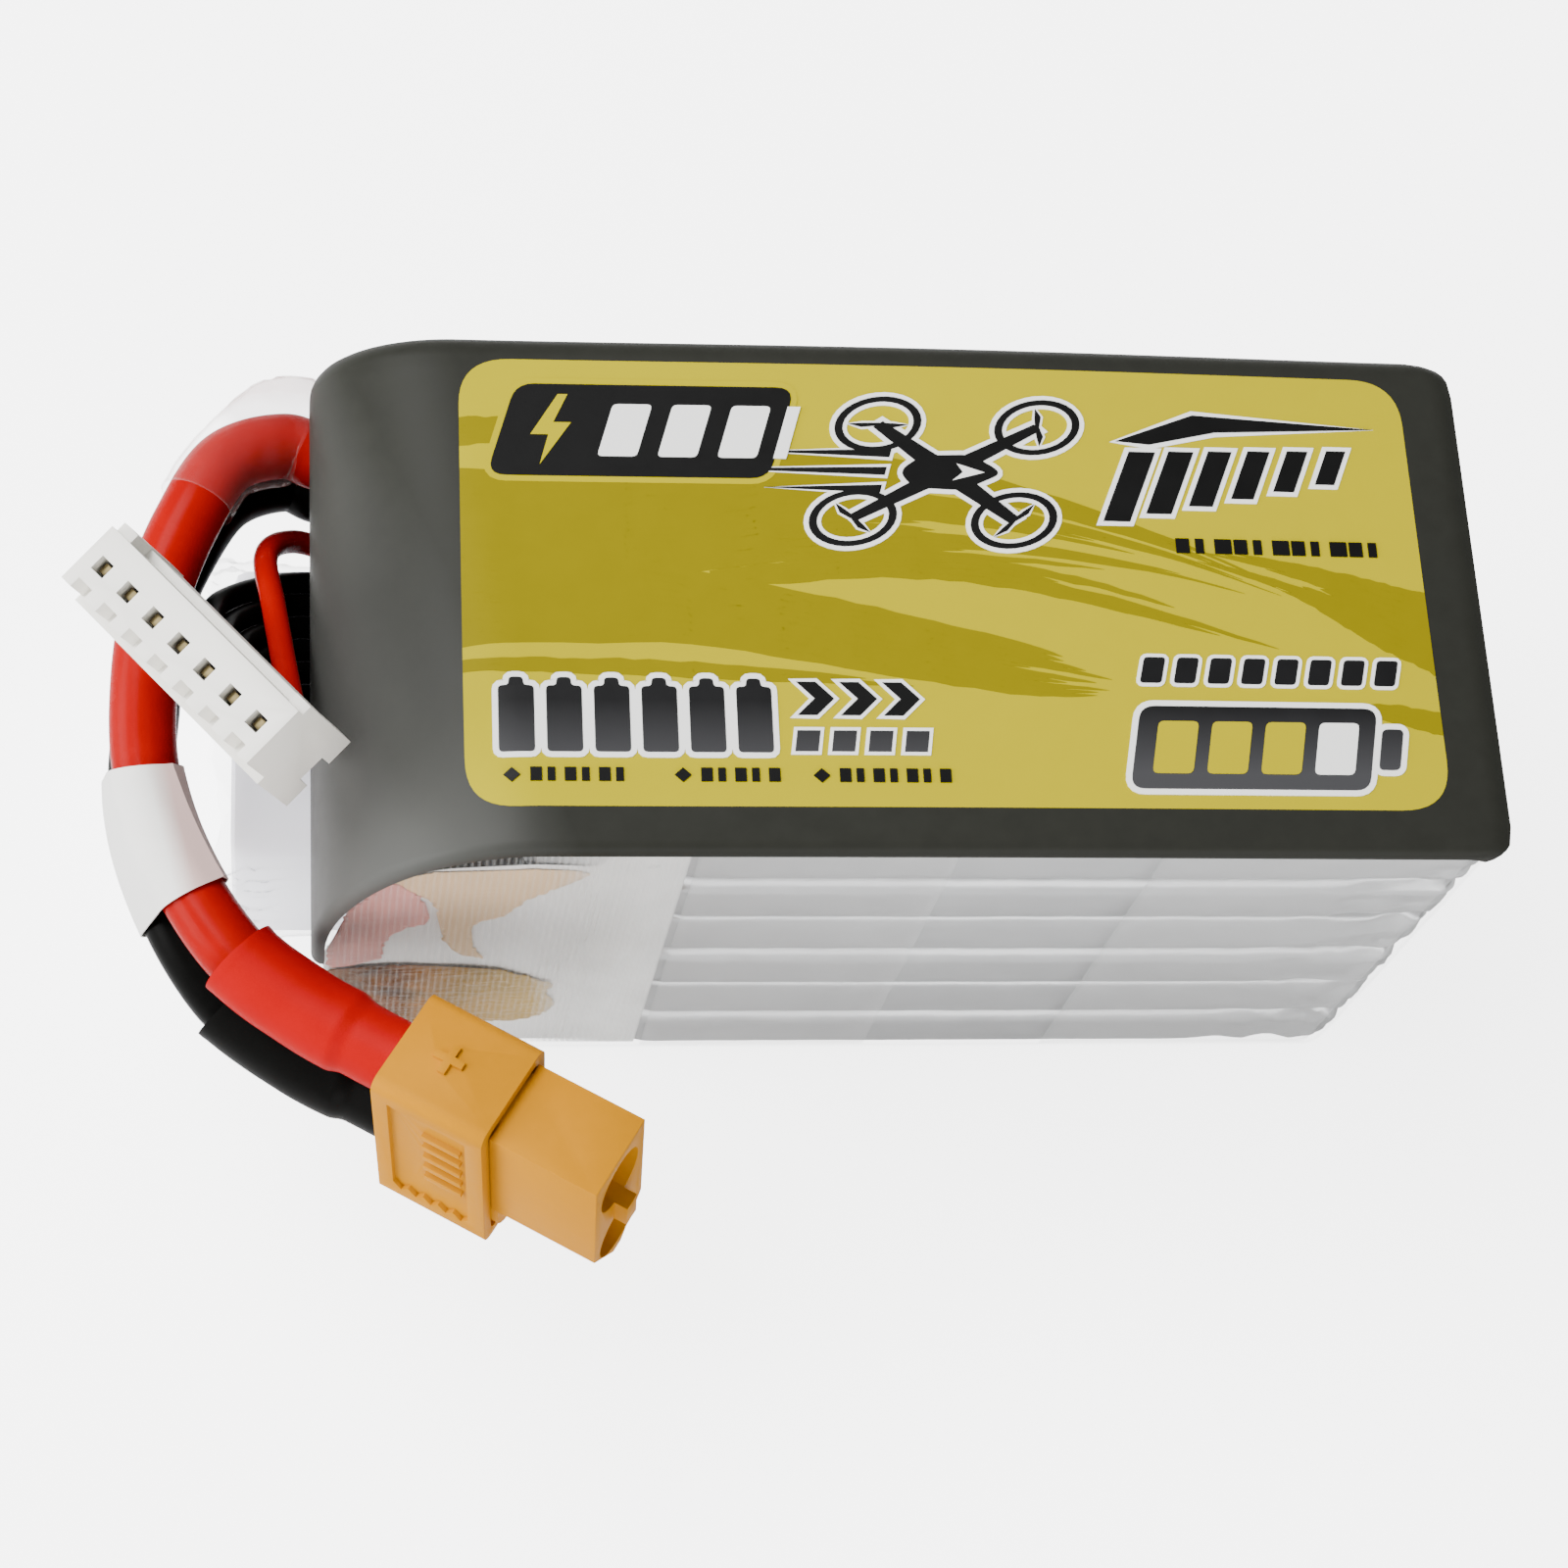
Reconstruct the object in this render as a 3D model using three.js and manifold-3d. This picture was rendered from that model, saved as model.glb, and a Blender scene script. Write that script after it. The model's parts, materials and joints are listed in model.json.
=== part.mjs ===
// A six-cell lithium polymer pack with a power lead and a balance lead.
// Frame: +Z is the stacking direction of the cells, -X the wire end, origin at the middle of the base.
import * as THREE from 'three';
import { mergeVertices } from 'three/addons/utils/BufferGeometryUtils.js';
import Module from 'manifold-3d';

const wasm = await Module();
wasm.setup();

// Pack body, in mm.
const HALF_LENGTH = 40;
const WIRE_END = -40.3;
const HALF_WIDTH = 19.2;
const HEIGHT = 45;
const LAYER = 0.3;
const LAYER_PITCH = 0.4;
const EDGE_NEAR_TOP = 0.9;
const EDGE_FAR_TOP = 2;
const EDGE_BOTTOM = 2.6;
const CORNER_FAR_END = 3;
const CORNER_FOOT = 2.2;
const SHARP = 0.1;
const BEYOND = 60;
const ALL = [-BEYOND, BEYOND];

// The nose: the quarter ellipse by which the wrap bends down over the wire end.
// It is longer and lower on the near side than on the far side, where the power wires lift it.
const NOSE_NEAR = { x: -25.3, z: 25, a: 15, b: 20 };
const NOSE_FAR = { x: -31, z: 38.5, a: 9.7, b: 6.5 };
const LABEL_END_NEAR = 22.5;
const LABEL_END_FAR = 37;
const NOSE_STEPS = 9;

// Cells.
const CELL_COUNT = 6;
const CELL_PITCH = 7.1;
const CELL_BASE = 1.2;
const CELL_THICK = 6.6;
const CELL_X0 = -26.5;
const CELL_X1 = 38.6;
const CELL_HALF_WIDTH = 17.5;
const CELL_EDGE = 1.1;
const CELL_CORNER = 1.2;
const TERRACE_X0 = -28.6;
const TERRACE_HALF_WIDTH = 15;
const TERRACE_THICK = 0.5;
const PAD_THICK = 0.3;
const PAD_INSET = 2;
const PAD_CORNER = 2;

// Tabs and terminal board.
const LINK_X0 = -30.5;
const LINK_X1 = -28.9;
const LINK_WIDTH = 8;
const LINK_THICK = 0.3;
const LINK_INSET = 0.6;
const TAB_Y = 8;
const TAB_HALF = 3;
const TAB_RISE = 2.4;
const BOARD_X = -31.9;
const BOARD_THICK = 1;
const BOARD_Y = [-15, 12.4];
const BOARD_Z = [6, 38];
const COVER_BOX = { x: [-46, -32.2], y: [-10, 12.5], z: [2.6, 21.6] };
const COVER_EDGE = 1;
const MOUTH_GAP = 0.4;
const MOUTH_X = [-47.6, -38.6];
const MOUTH_CORNER = 2;

// Bands over the cells.
const TAPE_X = [-39.9, -15.5];
const AMBER = { x: [-38, -23], z: [10, 24.5] };
const PAPER = { x: [-33, -23.5], z: [26.5, 40] };
const SHEET_Y = -18;
const SHEET_CORNER = 2;

// Power lead. Both wires are stacked, red above black, where a joint crosses them.
const WIRE_R = 2.3;
const WIRE_SIDES = 12;
const BALL_GAP = 0.3;
const BALL_SHARE = 0.99;
const RED_PATH = [
  [-31.2, 15.0, 31.8], [-36, 15.1, 32.4], [-39.8, 15.2, 33.0], [-42.4, 15.9, 33.5],
  [-46.4, 13.8, 34.8], [-49, 9, 35.2], [-50.9, 4, 34.2], [-51.8, -1.5, 32.3],
  [-51.6, -7.8, 30.3], [-49.4, -14.2, 29.1], [-45.6, -20.2, 28.5], [-41.0, -24.0, 28.2],
  [-37.2, -26.4, 28.5], [-33.2, -28.9, 29.2],
];
const BLACK_OFFSETS = [
  [0, 0, -5.2], [0, 0, -5.2], [0, 0, -5.2], [0, 0, -5.2],
  [-0.2, -0.2, -5.2], [-0.5, -0.4, -5.2], [-0.4, -0.3, -5.2], [0, 0, -5.2],
  [-0.5, -0.5, -5.2], [-0.8, -0.8, -5.2], [-0.7, -1.2, -6.2], [0, -1.3, -6.8],
  [0.3, -1.25, -7.05], [0.43, -1.2, -7.1],
];
const ROOT_JOINT = 3;
const LOOP_JOINT = 7;
const WIRE_SHORT = 0.35;
const BAND_SPAN = [7.9, 9.25];
const BAND_R = 2.85;
const BAND_WALL = 0.3;
const BAND_HALF = 2.72;
const SHRINK_SPAN = [10.1, 12.75];
const SHRINK_STEP = 11.9;
const SHRINK_R = [2.95, 2.65];
const SHRINK_BORE = 2.42;
const COLLAR_SPAN = [3.55, 4.75];
const COLLAR_R = [2.7, 2.42];

// Power connector: u along the mating direction, w from plus to minus, t across.
const PLUG_ORIGIN = [-33.8, -29.3, 25.6];
const PLUG_U = [0.84, -0.52, 0.15];
const PLUG_W = [0.06, -0.167, -0.984];
const POLE = 3.6;
const CAP = { length: 8.5, w: 8, t: 4.1, wall: 0.9, edge: 1, inner: 0.6, hole: 2.75, gap: 0.1 };
const CORE = { u0: 1.2, w: 7, t: 3.1, corner: 1.5, overlap: 0.5 };
const PLUG = { u1: 16.7, w: 7, t: 3.2, bevelW: 3.3, bevelT: 2.7, bore: 2.45, sides: 20 };
const TAB = { length: 1, w: 2.25, t: 0.65 };
const PLUS = { u: 3.6, arm: 1.1, half: 0.28, rise: 0.3 };
const PANEL = { u0: 1.2, u1: 7.2, w0: -6.2, w1: 6.2, depth: 0.35, teeth: 5, tooth: 0.7 };
const RIBS = { u0: 3.8, u1: 6.7, w: [-4.2, -2.7, -1.2, 0.3, 1.8], width: 0.55 };
const CONTACT = { r: 2.28, bore: 1.75, u0: 3.2, u1: 15.6, cup: 1.95, cupEnd: 7.5, web: 0.8 };
const SLOT = { length: 5, half: 0.2 };

// Balance connector: a along the row, m the mating direction, b across.
const ROW_CENTRE = [-48.9, -7.5, 51];
const ROW_A = [0.66, -0.744, 0.075];
const ROW_M = [-0.3, -0.133, 0.945];
const POLES = 7;
const POLE_PITCH = 2.5;
const BODY = { a: 9.05, b: 2.3, depth: 9.8, flangeB: 2.9, flangeTop: -3.6 };
const HOLE_HALF = 0.55;
const REAR_HOLE_R = 1.05;
const REAR_HOLE_TOP = -5;
const NOTCH = { half: 0.65, b: 1.5, depth: 2.2 };
const LIP = { a: 1.3, rise: 0.9, thick: 0.7 };
const KEYWAY = { a: 1, b: 1, rise: 1.6 };
const TERMINAL = { half: 0.38, top: -0.7, crimpTop: -5.2, crimpR: 0.8, end: -8.6 };

// Balance wires: six black ones as a fan and one red one above them.
const THIN_R = 0.85;
const THIN_SIDES = 8;
const THIN_STEPS = 14;
const FAN = [
  { c: [-33.2, 4.2, 24.5], d: [0, -1, 0], pitch: 2 },
  { c: [-38, 4.2, 24.6], d: [0, -1, 0], pitch: 2 },
  { c: [-41.8, 3.6, 26.0], d: [0.15, -0.99, 0], pitch: 2 },
  { c: [-44.4, 0.8, 29.8], d: [0.5, -0.87, 0], pitch: 2.12 },
  { c: [-44.55, -3.4, 35.2], d: [0.66, -0.74, 0.1], pitch: 2.15 },
];
const RED_THIN = [
  [-33.2, 11.5, 24.5], [-38, 11.5, 25.2], [-41.6, 11.1, 27.6], [-43.6, 8.0, 31.6],
  [-42.6, 1.4, 35.4], [-39.8, -8.0, 38.0],
];
const APPROACH = 3.4;
const REAR_PIVOT = 0.8;

function v3(p) {
  return new THREE.Vector3(p[0], p[1], p[2]);
}

// Solids and meshes.
function toSolid(geometry) {
  const bare = geometry.clone();
  bare.deleteAttribute('normal');
  bare.deleteAttribute('uv');
  const merged = mergeVertices(bare, 1e-4);
  return new wasm.Manifold(new wasm.Mesh({
    numProp: 3,
    vertProperties: new Float32Array(merged.attributes.position.array),
    triVerts: new Uint32Array(merged.index.array),
  }));
}

function fromSolid(solid) {
  const mesh = solid.getMesh();
  const geometry = new THREE.BufferGeometry();
  geometry.setAttribute('position', new THREE.BufferAttribute(mesh.vertProperties, mesh.numProp));
  geometry.setIndex(new THREE.BufferAttribute(mesh.triVerts, 1));
  return geometry;
}

function minus(base, ...cutters) {
  return cutters.reduce((solid, cutter) => solid.subtract(toSolid(cutter)), toSolid(base));
}

function boxAt(x, y, z) {
  const geometry = new THREE.BoxGeometry(x[1] - x[0], y[1] - y[0], z[1] - z[0]);
  return geometry.translate((x[0] + x[1]) / 2, (y[0] + y[1]) / 2, (z[0] + z[1]) / 2);
}

function all4(r) {
  return [r, r, r, r];
}

// A rounded rectangle with one radius per corner, counter-clockwise from the lower left.
function roundedRect(x0, y0, x1, y1, r) {
  const shape = new THREE.Shape();
  shape.moveTo(x0 + r[0], y0);
  shape.lineTo(x1 - r[1], y0);
  shape.absarc(x1 - r[1], y0 + r[1], r[1], -Math.PI / 2, 0, false);
  shape.lineTo(x1, y1 - r[2]);
  shape.absarc(x1 - r[2], y1 - r[2], r[2], 0, Math.PI / 2, false);
  shape.lineTo(x0 + r[3], y1);
  shape.absarc(x0 + r[3], y1 - r[3], r[3], Math.PI / 2, Math.PI, false);
  shape.lineTo(x0, y0 + r[0]);
  shape.absarc(x0 + r[0], y0 + r[0], r[0], Math.PI, 1.5 * Math.PI, false);
  return shape;
}

function extrude(shape, depth, curveSegments = 4, extra = {}) {
  const options = { depth, bevelEnabled: false, curveSegments, ...extra };
  return new THREE.ExtrudeGeometry(shape, options);
}

// Turns a geometry's x, y and z into the given directions, from the given origin.
function placed(geometry, origin, ex, ey, ez) {
  const matrix = new THREE.Matrix4().makeBasis(ex, ey, ez).setPosition(origin);
  return geometry.applyMatrix4(matrix);
}

// Drawn in x and z, extruded from y0 to y1.
function alongY(shape, y0, y1, curveSegments) {
  return extrude(shape, y1 - y0, curveSegments).rotateX(Math.PI / 2).translate(0, y1, 0);
}

// Drawn in y and z, extruded from x0 to x1.
function alongX(shape, x0, x1, curveSegments) {
  const origin = new THREE.Vector3(x0, 0, 0);
  const [ex, ey, ez] = [v3([0, 1, 0]), v3([0, 0, 1]), v3([1, 0, 0])];
  return placed(extrude(shape, x1 - x0, curveSegments), origin, ex, ey, ez);
}

// The pack body shrunk by an inset, before the nose is skewed.
function packOutline(inset) {
  const shape = new THREE.Shape();
  const [x0, x1] = [WIRE_END + inset, HALF_LENGTH - inset];
  const [z0, z1] = [inset, HEIGHT - inset];
  const foot = CORNER_FOOT - inset;
  shape.moveTo(x0 + foot, z0);
  shape.lineTo(x1 - foot, z0);
  shape.absarc(x1 - foot, z0 + foot, foot, -Math.PI / 2, 0, false);
  shape.lineTo(x1, z1);
  const [a, b] = [NOSE_NEAR.a - inset, NOSE_NEAR.b - inset];
  for (let i = 0; i <= NOSE_STEPS; i++) {
    const angle = Math.PI / 2 * (1 + i / NOSE_STEPS);
    shape.lineTo(NOSE_NEAR.x + a * Math.cos(angle), NOSE_NEAR.z + b * Math.sin(angle));
  }
  shape.lineTo(x0, z0 + foot);
  shape.absarc(x0 + foot, z0 + foot, foot, Math.PI, 1.5 * Math.PI, false);
  return shape;
}

function packSolid(inset) {
  const y = HALF_WIDTH - inset;
  const section = roundedRect(-y, inset, y, HEIGHT - inset, [
    EDGE_BOTTOM - inset, EDGE_BOTTOM - inset, EDGE_FAR_TOP - inset, Math.max(EDGE_NEAR_TOP - inset, SHARP),
  ]);
  const corner = CORNER_FAR_END - inset;
  const plan = roundedRect(WIRE_END - 1, -y, HALF_LENGTH - inset, y, [SHARP, corner, corner, SHARP]);
  const side = toSolid(alongY(packOutline(inset), -y, y, 3));
  const across = toSolid(alongX(section, WIRE_END - 1, HALF_LENGTH + 1, 3));
  const above = toSolid(extrude(plan, HEIGHT + 2, 3).translate(0, 0, -1));
  return side.intersect(across).intersect(above);
}

// Skews the nose linearly from its near profile to its far profile. A point moves with the
// point of the outer profile at its own angle, so that every layer keeps its thickness.
function skewNose(geometry) {
  const position = geometry.attributes.position;
  for (let i = 0; i < position.count; i++) {
    const [x, y, z] = [position.getX(i), position.getY(i), position.getZ(i)];
    if (x > NOSE_NEAR.x + 1e-3 || z < LABEL_END_NEAR - 1e-3) continue;
    const share = (y + HALF_WIDTH) / (2 * HALF_WIDTH);
    const [moveX, moveZ] = noseMove(x, z);
    position.setXYZ(i, x + share * moveX, y, z + share * moveZ);
  }
  return geometry;
}

function noseMove(x, z) {
  const rise = Math.max((z - NOSE_NEAR.z) / NOSE_NEAR.b, 0);
  const angle = Math.atan2(rise, (x - NOSE_NEAR.x) / NOSE_NEAR.a);
  const shift = [NOSE_FAR.x - NOSE_NEAR.x, NOSE_FAR.z - NOSE_NEAR.z];
  const moveX = shift[0] + (NOSE_FAR.a - NOSE_NEAR.a) * Math.cos(angle);
  const moveZ = shift[1] + (NOSE_FAR.b - NOSE_NEAR.b) * Math.sin(angle);
  const below = Math.max(NOSE_NEAR.z - z, 0) / (NOSE_NEAR.z - LABEL_END_NEAR);
  const endMove = LABEL_END_FAR - LABEL_END_NEAR - shift[1];
  return [moveX, moveZ + below * endMove];
}

function shell(inset) {
  return packSolid(inset).subtract(packSolid(inset + LAYER));
}

// Printed wrap: base, far side, top and nose, open on the near side and at both ends.
function labelGeometry() {
  const nearSide = boxAt(ALL, [-BEYOND, -HALF_WIDTH + LAYER], [-1, HEIGHT - EDGE_NEAR_TOP]);
  const nearEdge = boxAt(ALL, [-BEYOND, -HALF_WIDTH + EDGE_BOTTOM], [-1, EDGE_BOTTOM]);
  const farEnd = boxAt([HALF_LENGTH - 1, BEYOND], ALL, [-1, HEIGHT - LAYER]);
  const wireEnd = boxAt([-BEYOND, WIRE_END + 2.5], ALL, [-1, LABEL_END_NEAR]);
  const cut = [nearSide, nearEdge, farEnd, wireEnd].map(toSolid);
  return skewNose(fromSolid(cut.reduce((solid, cutter) => solid.subtract(cutter), shell(0))));
}

// Clear shrink sleeve: closed round the pack, open at the wire end below the label.
function sleeveGeometry() {
  const mouth = toSolid(boxAt([-BEYOND, WIRE_END + 1], ALL, [-1, LABEL_END_NEAR]));
  return skewNose(fromSolid(shell(LAYER_PITCH).subtract(mouth)));
}

function tapeGeometry() {
  const inner = shell(2 * LAYER_PITCH);
  const keep = toSolid(boxAt(TAPE_X, ALL, [-1, HEIGHT + 1]));
  const mouth = toSolid(boxAt([-BEYOND, WIRE_END + 1.4], ALL, [-1, LABEL_END_NEAR]));
  return skewNose(fromSolid(inner.intersect(keep).subtract(mouth)));
}

function cellGeometry(index) {
  const z0 = CELL_BASE + index * CELL_PITCH + (CELL_PITCH - CELL_THICK) / 2;
  const plan = roundedRect(
    CELL_X0 + CELL_EDGE, -CELL_HALF_WIDTH + CELL_EDGE,
    CELL_X1 - CELL_EDGE, CELL_HALF_WIDTH - CELL_EDGE, all4(CELL_CORNER),
  );
  const body = extrude(plan, CELL_THICK - 2 * CELL_EDGE, 2, {
    bevelEnabled: true, bevelThickness: CELL_EDGE, bevelSize: CELL_EDGE, bevelSegments: 2,
  }).translate(0, 0, z0 + CELL_EDGE);
  const middle = z0 + CELL_THICK / 2;
  const terrace = boxAt(
    [TERRACE_X0, CELL_X0 + 1], [-TERRACE_HALF_WIDTH, TERRACE_HALF_WIDTH],
    [middle - TERRACE_THICK / 2, middle + TERRACE_THICK / 2],
  );
  return fromSolid(toSolid(body).add(toSolid(terrace)));
}

function padGeometry(index) {
  const z = CELL_BASE + (index + 1) * CELL_PITCH;
  const half = CELL_HALF_WIDTH - PAD_INSET;
  const plan = roundedRect(CELL_X0 + PAD_INSET, -half, CELL_X1 - PAD_INSET, half, all4(PAD_CORNER));
  return extrude(plan, PAD_THICK, 3).translate(0, 0, z - PAD_THICK / 2);
}

// A strip bent into a U that joins the tabs of two neighbouring cells.
function linkGeometry(index) {
  const middle = CELL_BASE + (index + 1) * CELL_PITCH;
  const reach = CELL_PITCH / 2 - LINK_INSET;
  const [z0, z1] = [middle - reach, middle + reach];
  const shape = new THREE.Shape();
  shape.moveTo(LINK_X1, z0);
  shape.lineTo(LINK_X1, z0 + LINK_THICK);
  shape.lineTo(LINK_X0 + LINK_THICK, z0 + LINK_THICK);
  shape.lineTo(LINK_X0 + LINK_THICK, z1 - LINK_THICK);
  shape.lineTo(LINK_X1, z1 - LINK_THICK);
  shape.lineTo(LINK_X1, z1);
  shape.lineTo(LINK_X0, z1);
  shape.lineTo(LINK_X0, z0);
  const y = index % 2 === 0 ? TAB_Y : -TAB_Y;
  return alongY(shape, y - LINK_WIDTH / 2, y + LINK_WIDTH / 2);
}

// An L-shaped end tab: the lowest cell's minus pole or the highest cell's plus pole.
function endTabGeometry(index, y) {
  const z = CELL_BASE + (index + 0.5) * CELL_PITCH;
  const up = index === 0 ? 1 : -1;
  const across = [y - TAB_HALF, y + TAB_HALF];
  const foot = boxAt([LINK_X0, LINK_X1], across, [z - LINK_THICK / 2, z + LINK_THICK / 2]);
  const rise = [z, z + up * TAB_RISE].sort((p, q) => p - q);
  const leg = boxAt([LINK_X0, LINK_X0 + LINK_THICK], across, rise);
  return fromSolid(toSolid(foot).add(toSolid(leg)));
}

function coverGeometry() {
  const { x, y, z } = COVER_BOX;
  const r = COVER_EDGE;
  const section = roundedRect(y[0] + r, z[0] + r, y[1] - r, z[1] - r, all4(r));
  const block = extrude(section, x[1] - x[0] - 2 * r, 3, {
    bevelEnabled: true, bevelThickness: r, bevelSize: r, bevelSegments: 2,
  });
  return placed(block, v3([x[0] + r, 0, 0]), v3([0, 1, 0]), v3([0, 0, 1]), v3([1, 0, 0]));
}

// The loose end of the clear sleeve round the terminal cover.
function mouthGeometry() {
  const { y, z } = COVER_BOX;
  const ring = (grow, x0, x1) => alongX(
    roundedRect(y[0] - grow, z[0] - grow, y[1] + grow, z[1] + grow, all4(MOUTH_CORNER)), x0, x1, 3,
  );
  const outer = ring(MOUTH_GAP + LAYER, MOUTH_X[0], MOUTH_X[1]);
  return fromSolid(minus(outer, ring(MOUTH_GAP, MOUTH_X[0] - 1, MOUTH_X[1] + 1)));
}

function sheetGeometry({ x, z }, thickness) {
  const shape = roundedRect(x[0], z[0], x[1], z[1], all4(SHEET_CORNER));
  return alongY(shape, SHEET_Y, SHEET_Y + thickness, 3);
}

// The stretch of a curve between two of its control points.
class Stretch extends THREE.Curve {
  constructor(curve, from, to) {
    super();
    Object.assign(this, { curve, from, to });
  }

  getPoint(t, target = new THREE.Vector3()) {
    const last = this.curve.points.length - 1;
    return this.curve.getPoint((this.from + (this.to - this.from) * t) / last, target);
  }
}

function pathOf(points) {
  return new THREE.CatmullRomCurve3(points.map(v3), false, 'catmullrom', 0.5);
}

function circle(radius, sides) {
  const shape = new THREE.Shape();
  for (let i = 0; i < sides; i++) {
    const angle = 2 * Math.PI * i / sides;
    const [x, y] = [radius * Math.cos(angle), radius * Math.sin(angle)];
    if (i === 0) shape.moveTo(x, y);
    else shape.lineTo(x, y);
  }
  return shape;
}

function hollow(outer, inner, sides) {
  const shape = circle(outer, sides);
  shape.holes.push(circle(inner, sides));
  return shape;
}

const UPRIGHT = new THREE.Vector3(0, 0, 1);

// Sweeps a flat shape along a stretch of a path. Its own y stays near the direction that
// upAt gives, and resize gives the scale of a point at radius r, t of the way along.
function sweep(shape, path, [from, to], steps, upAt = () => UPRIGHT, resize = () => 1) {
  const geometry = extrude(shape, 1, 5, { steps });
  const position = geometry.attributes.position;
  const stretch = new Stretch(path, from, to);
  for (let i = 0; i < position.count; i++) {
    const [x, y, t] = [position.getX(i), position.getY(i), position.getZ(i)];
    const along = stretch.getTangent(t);
    const across = upAt(t).clone().cross(along).normalize();
    const up = along.clone().cross(across);
    const scale = resize(t, Math.hypot(x, y));
    const point = stretch.getPoint(t).addScaledVector(across, x * scale).addScaledVector(up, y * scale);
    position.setXYZ(i, point.x, point.y, point.z);
  }
  return geometry;
}

function ball(radius, centre) {
  return new THREE.SphereGeometry(radius, WIRE_SIDES, 6).translate(centre.x, centre.y, centre.z);
}

// A stretch of power wire. Its start is rounded about the joint behind it, and its end is
// hollowed about the joint ahead, so that neighbouring stretches turn without touching.
function wireStretch(path, from, to, steps, ends) {
  let solid = toSolid(sweep(circle(WIRE_R, WIRE_SIDES), path, [from, to], steps));
  const last = path.points.length - 1;
  if (ends.round) solid = solid.add(toSolid(ball(WIRE_R * BALL_SHARE, path.getPoint(from / last))));
  if (ends.hollow) solid = solid.subtract(toSolid(ball(WIRE_R + BALL_GAP, path.getPoint(to / last))));
  return fromSolid(solid);
}

const redPath = pathOf(RED_PATH);
const blackPoints = RED_PATH.map((p, i) => p.map((value, axis) => value + BLACK_OFFSETS[i][axis]));
const blackPath = pathOf(blackPoints);

function powerStretches(path) {
  const end = RED_PATH.length - 1 - WIRE_SHORT;
  return {
    root: wireStretch(path, 0, ROOT_JOINT, 4, { hollow: true }),
    loop: wireStretch(path, ROOT_JOINT, LOOP_JOINT, 10, { round: true, hollow: true }),
    end: wireStretch(path, LOOP_JOINT, end, 14, { round: true }),
  };
}

// A paper band round both wires: a flattened tube that follows the path between them.
function bandGeometry() {
  const between = RED_PATH.map((p, i) => v3(p).add(v3(blackPoints[i])).multiplyScalar(0.5).toArray());
  const [upper, lower] = [redPath, blackPath].map((path) => new Stretch(path, ...BAND_SPAN));
  const upAt = (t) => upper.getPoint(t).sub(lower.getPoint(t)).normalize();
  const section = stadium(BAND_R, BAND_HALF);
  section.holes.push(stadium(BAND_R - BAND_WALL, BAND_HALF));
  return sweep(section, pathOf(between), BAND_SPAN, 4, upAt);
}

function stadium(radius, half) {
  const shape = new THREE.Shape();
  shape.absarc(0, half, radius, 0, Math.PI, false);
  shape.absarc(0, -half, radius, Math.PI, 2 * Math.PI, false);
  return shape;
}

// Heat-shrink over a wire's end, with a step down to the part shrunk onto the wire.
function shrinkGeometry(path) {
  const step = (SHRINK_STEP - SHRINK_SPAN[0]) / (SHRINK_SPAN[1] - SHRINK_SPAN[0]);
  const resize = (t, r) => (r > SHRINK_BORE + 0.1 && t > step ? SHRINK_R[1] / SHRINK_R[0] : 1);
  const section = hollow(SHRINK_R[0], SHRINK_BORE, WIRE_SIDES);
  return sweep(section, path, SHRINK_SPAN, 8, undefined, resize);
}

// Power connector.
const plugU = v3(PLUG_U).normalize();
const plugW = v3(PLUG_W).addScaledVector(plugU, -v3(PLUG_W).dot(plugU)).normalize();
const plugT = plugU.clone().cross(plugW);

// Sections of the connector are drawn in w and t, and extruded along u with alongX.
function inPlug(geometry) {
  return placed(geometry, v3(PLUG_ORIGIN), plugU, plugW, plugT);
}

function plugBore(radius, u0, u1, pole) {
  const geometry = new THREE.CylinderGeometry(radius, radius, u1 - u0, PLUG.sides);
  return geometry.rotateZ(-Math.PI / 2).translate((u0 + u1) / 2, pole * POLE, 0);
}

function housingGeometry() {
  const { w, t, bevelW, bevelT } = PLUG;
  const front = new THREE.Shape();
  front.moveTo(-w, -t);
  front.lineTo(w - bevelW, -t);
  front.lineTo(w, -t + bevelT);
  front.lineTo(w, t - bevelT);
  front.lineTo(w - bevelW, t);
  front.lineTo(-w, t);
  const core = roundedRect(-CORE.w, -CORE.t, CORE.w, CORE.t, all4(CORE.corner));
  const tab = boxAt([PLUG.u1 - TAB.length, PLUG.u1 + TAB.length], [-TAB.w, TAB.w], [-TAB.t, TAB.t]);
  const hub = toSolid(alongX(front, CAP.length + CAP.gap, PLUG.u1));
  const body = hub.add(toSolid(alongX(core, CORE.u0, CAP.length + CORE.overlap, 3)));
  const bores = [-1, 1].map((pole) => toSolid(plugBore(PLUG.bore, CORE.u0 - 1, PLUG.u1 + 2, pole)));
  const drilled = body.subtract(bores[0]).subtract(bores[1]).add(toSolid(tab));
  return inPlug(fromSolid(drilled.subtract(bores[0]).subtract(bores[1])));
}

function plusMark() {
  const top = [-CAP.w - PLUS.rise, -CAP.w + 0.2];
  const { u, arm, half } = PLUS;
  const one = boxAt([u - arm, u + arm], top, [-half, half]);
  const two = boxAt([u - half, u + half], top, [-arm, arm]);
  return toSolid(one).add(toSolid(two));
}

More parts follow.
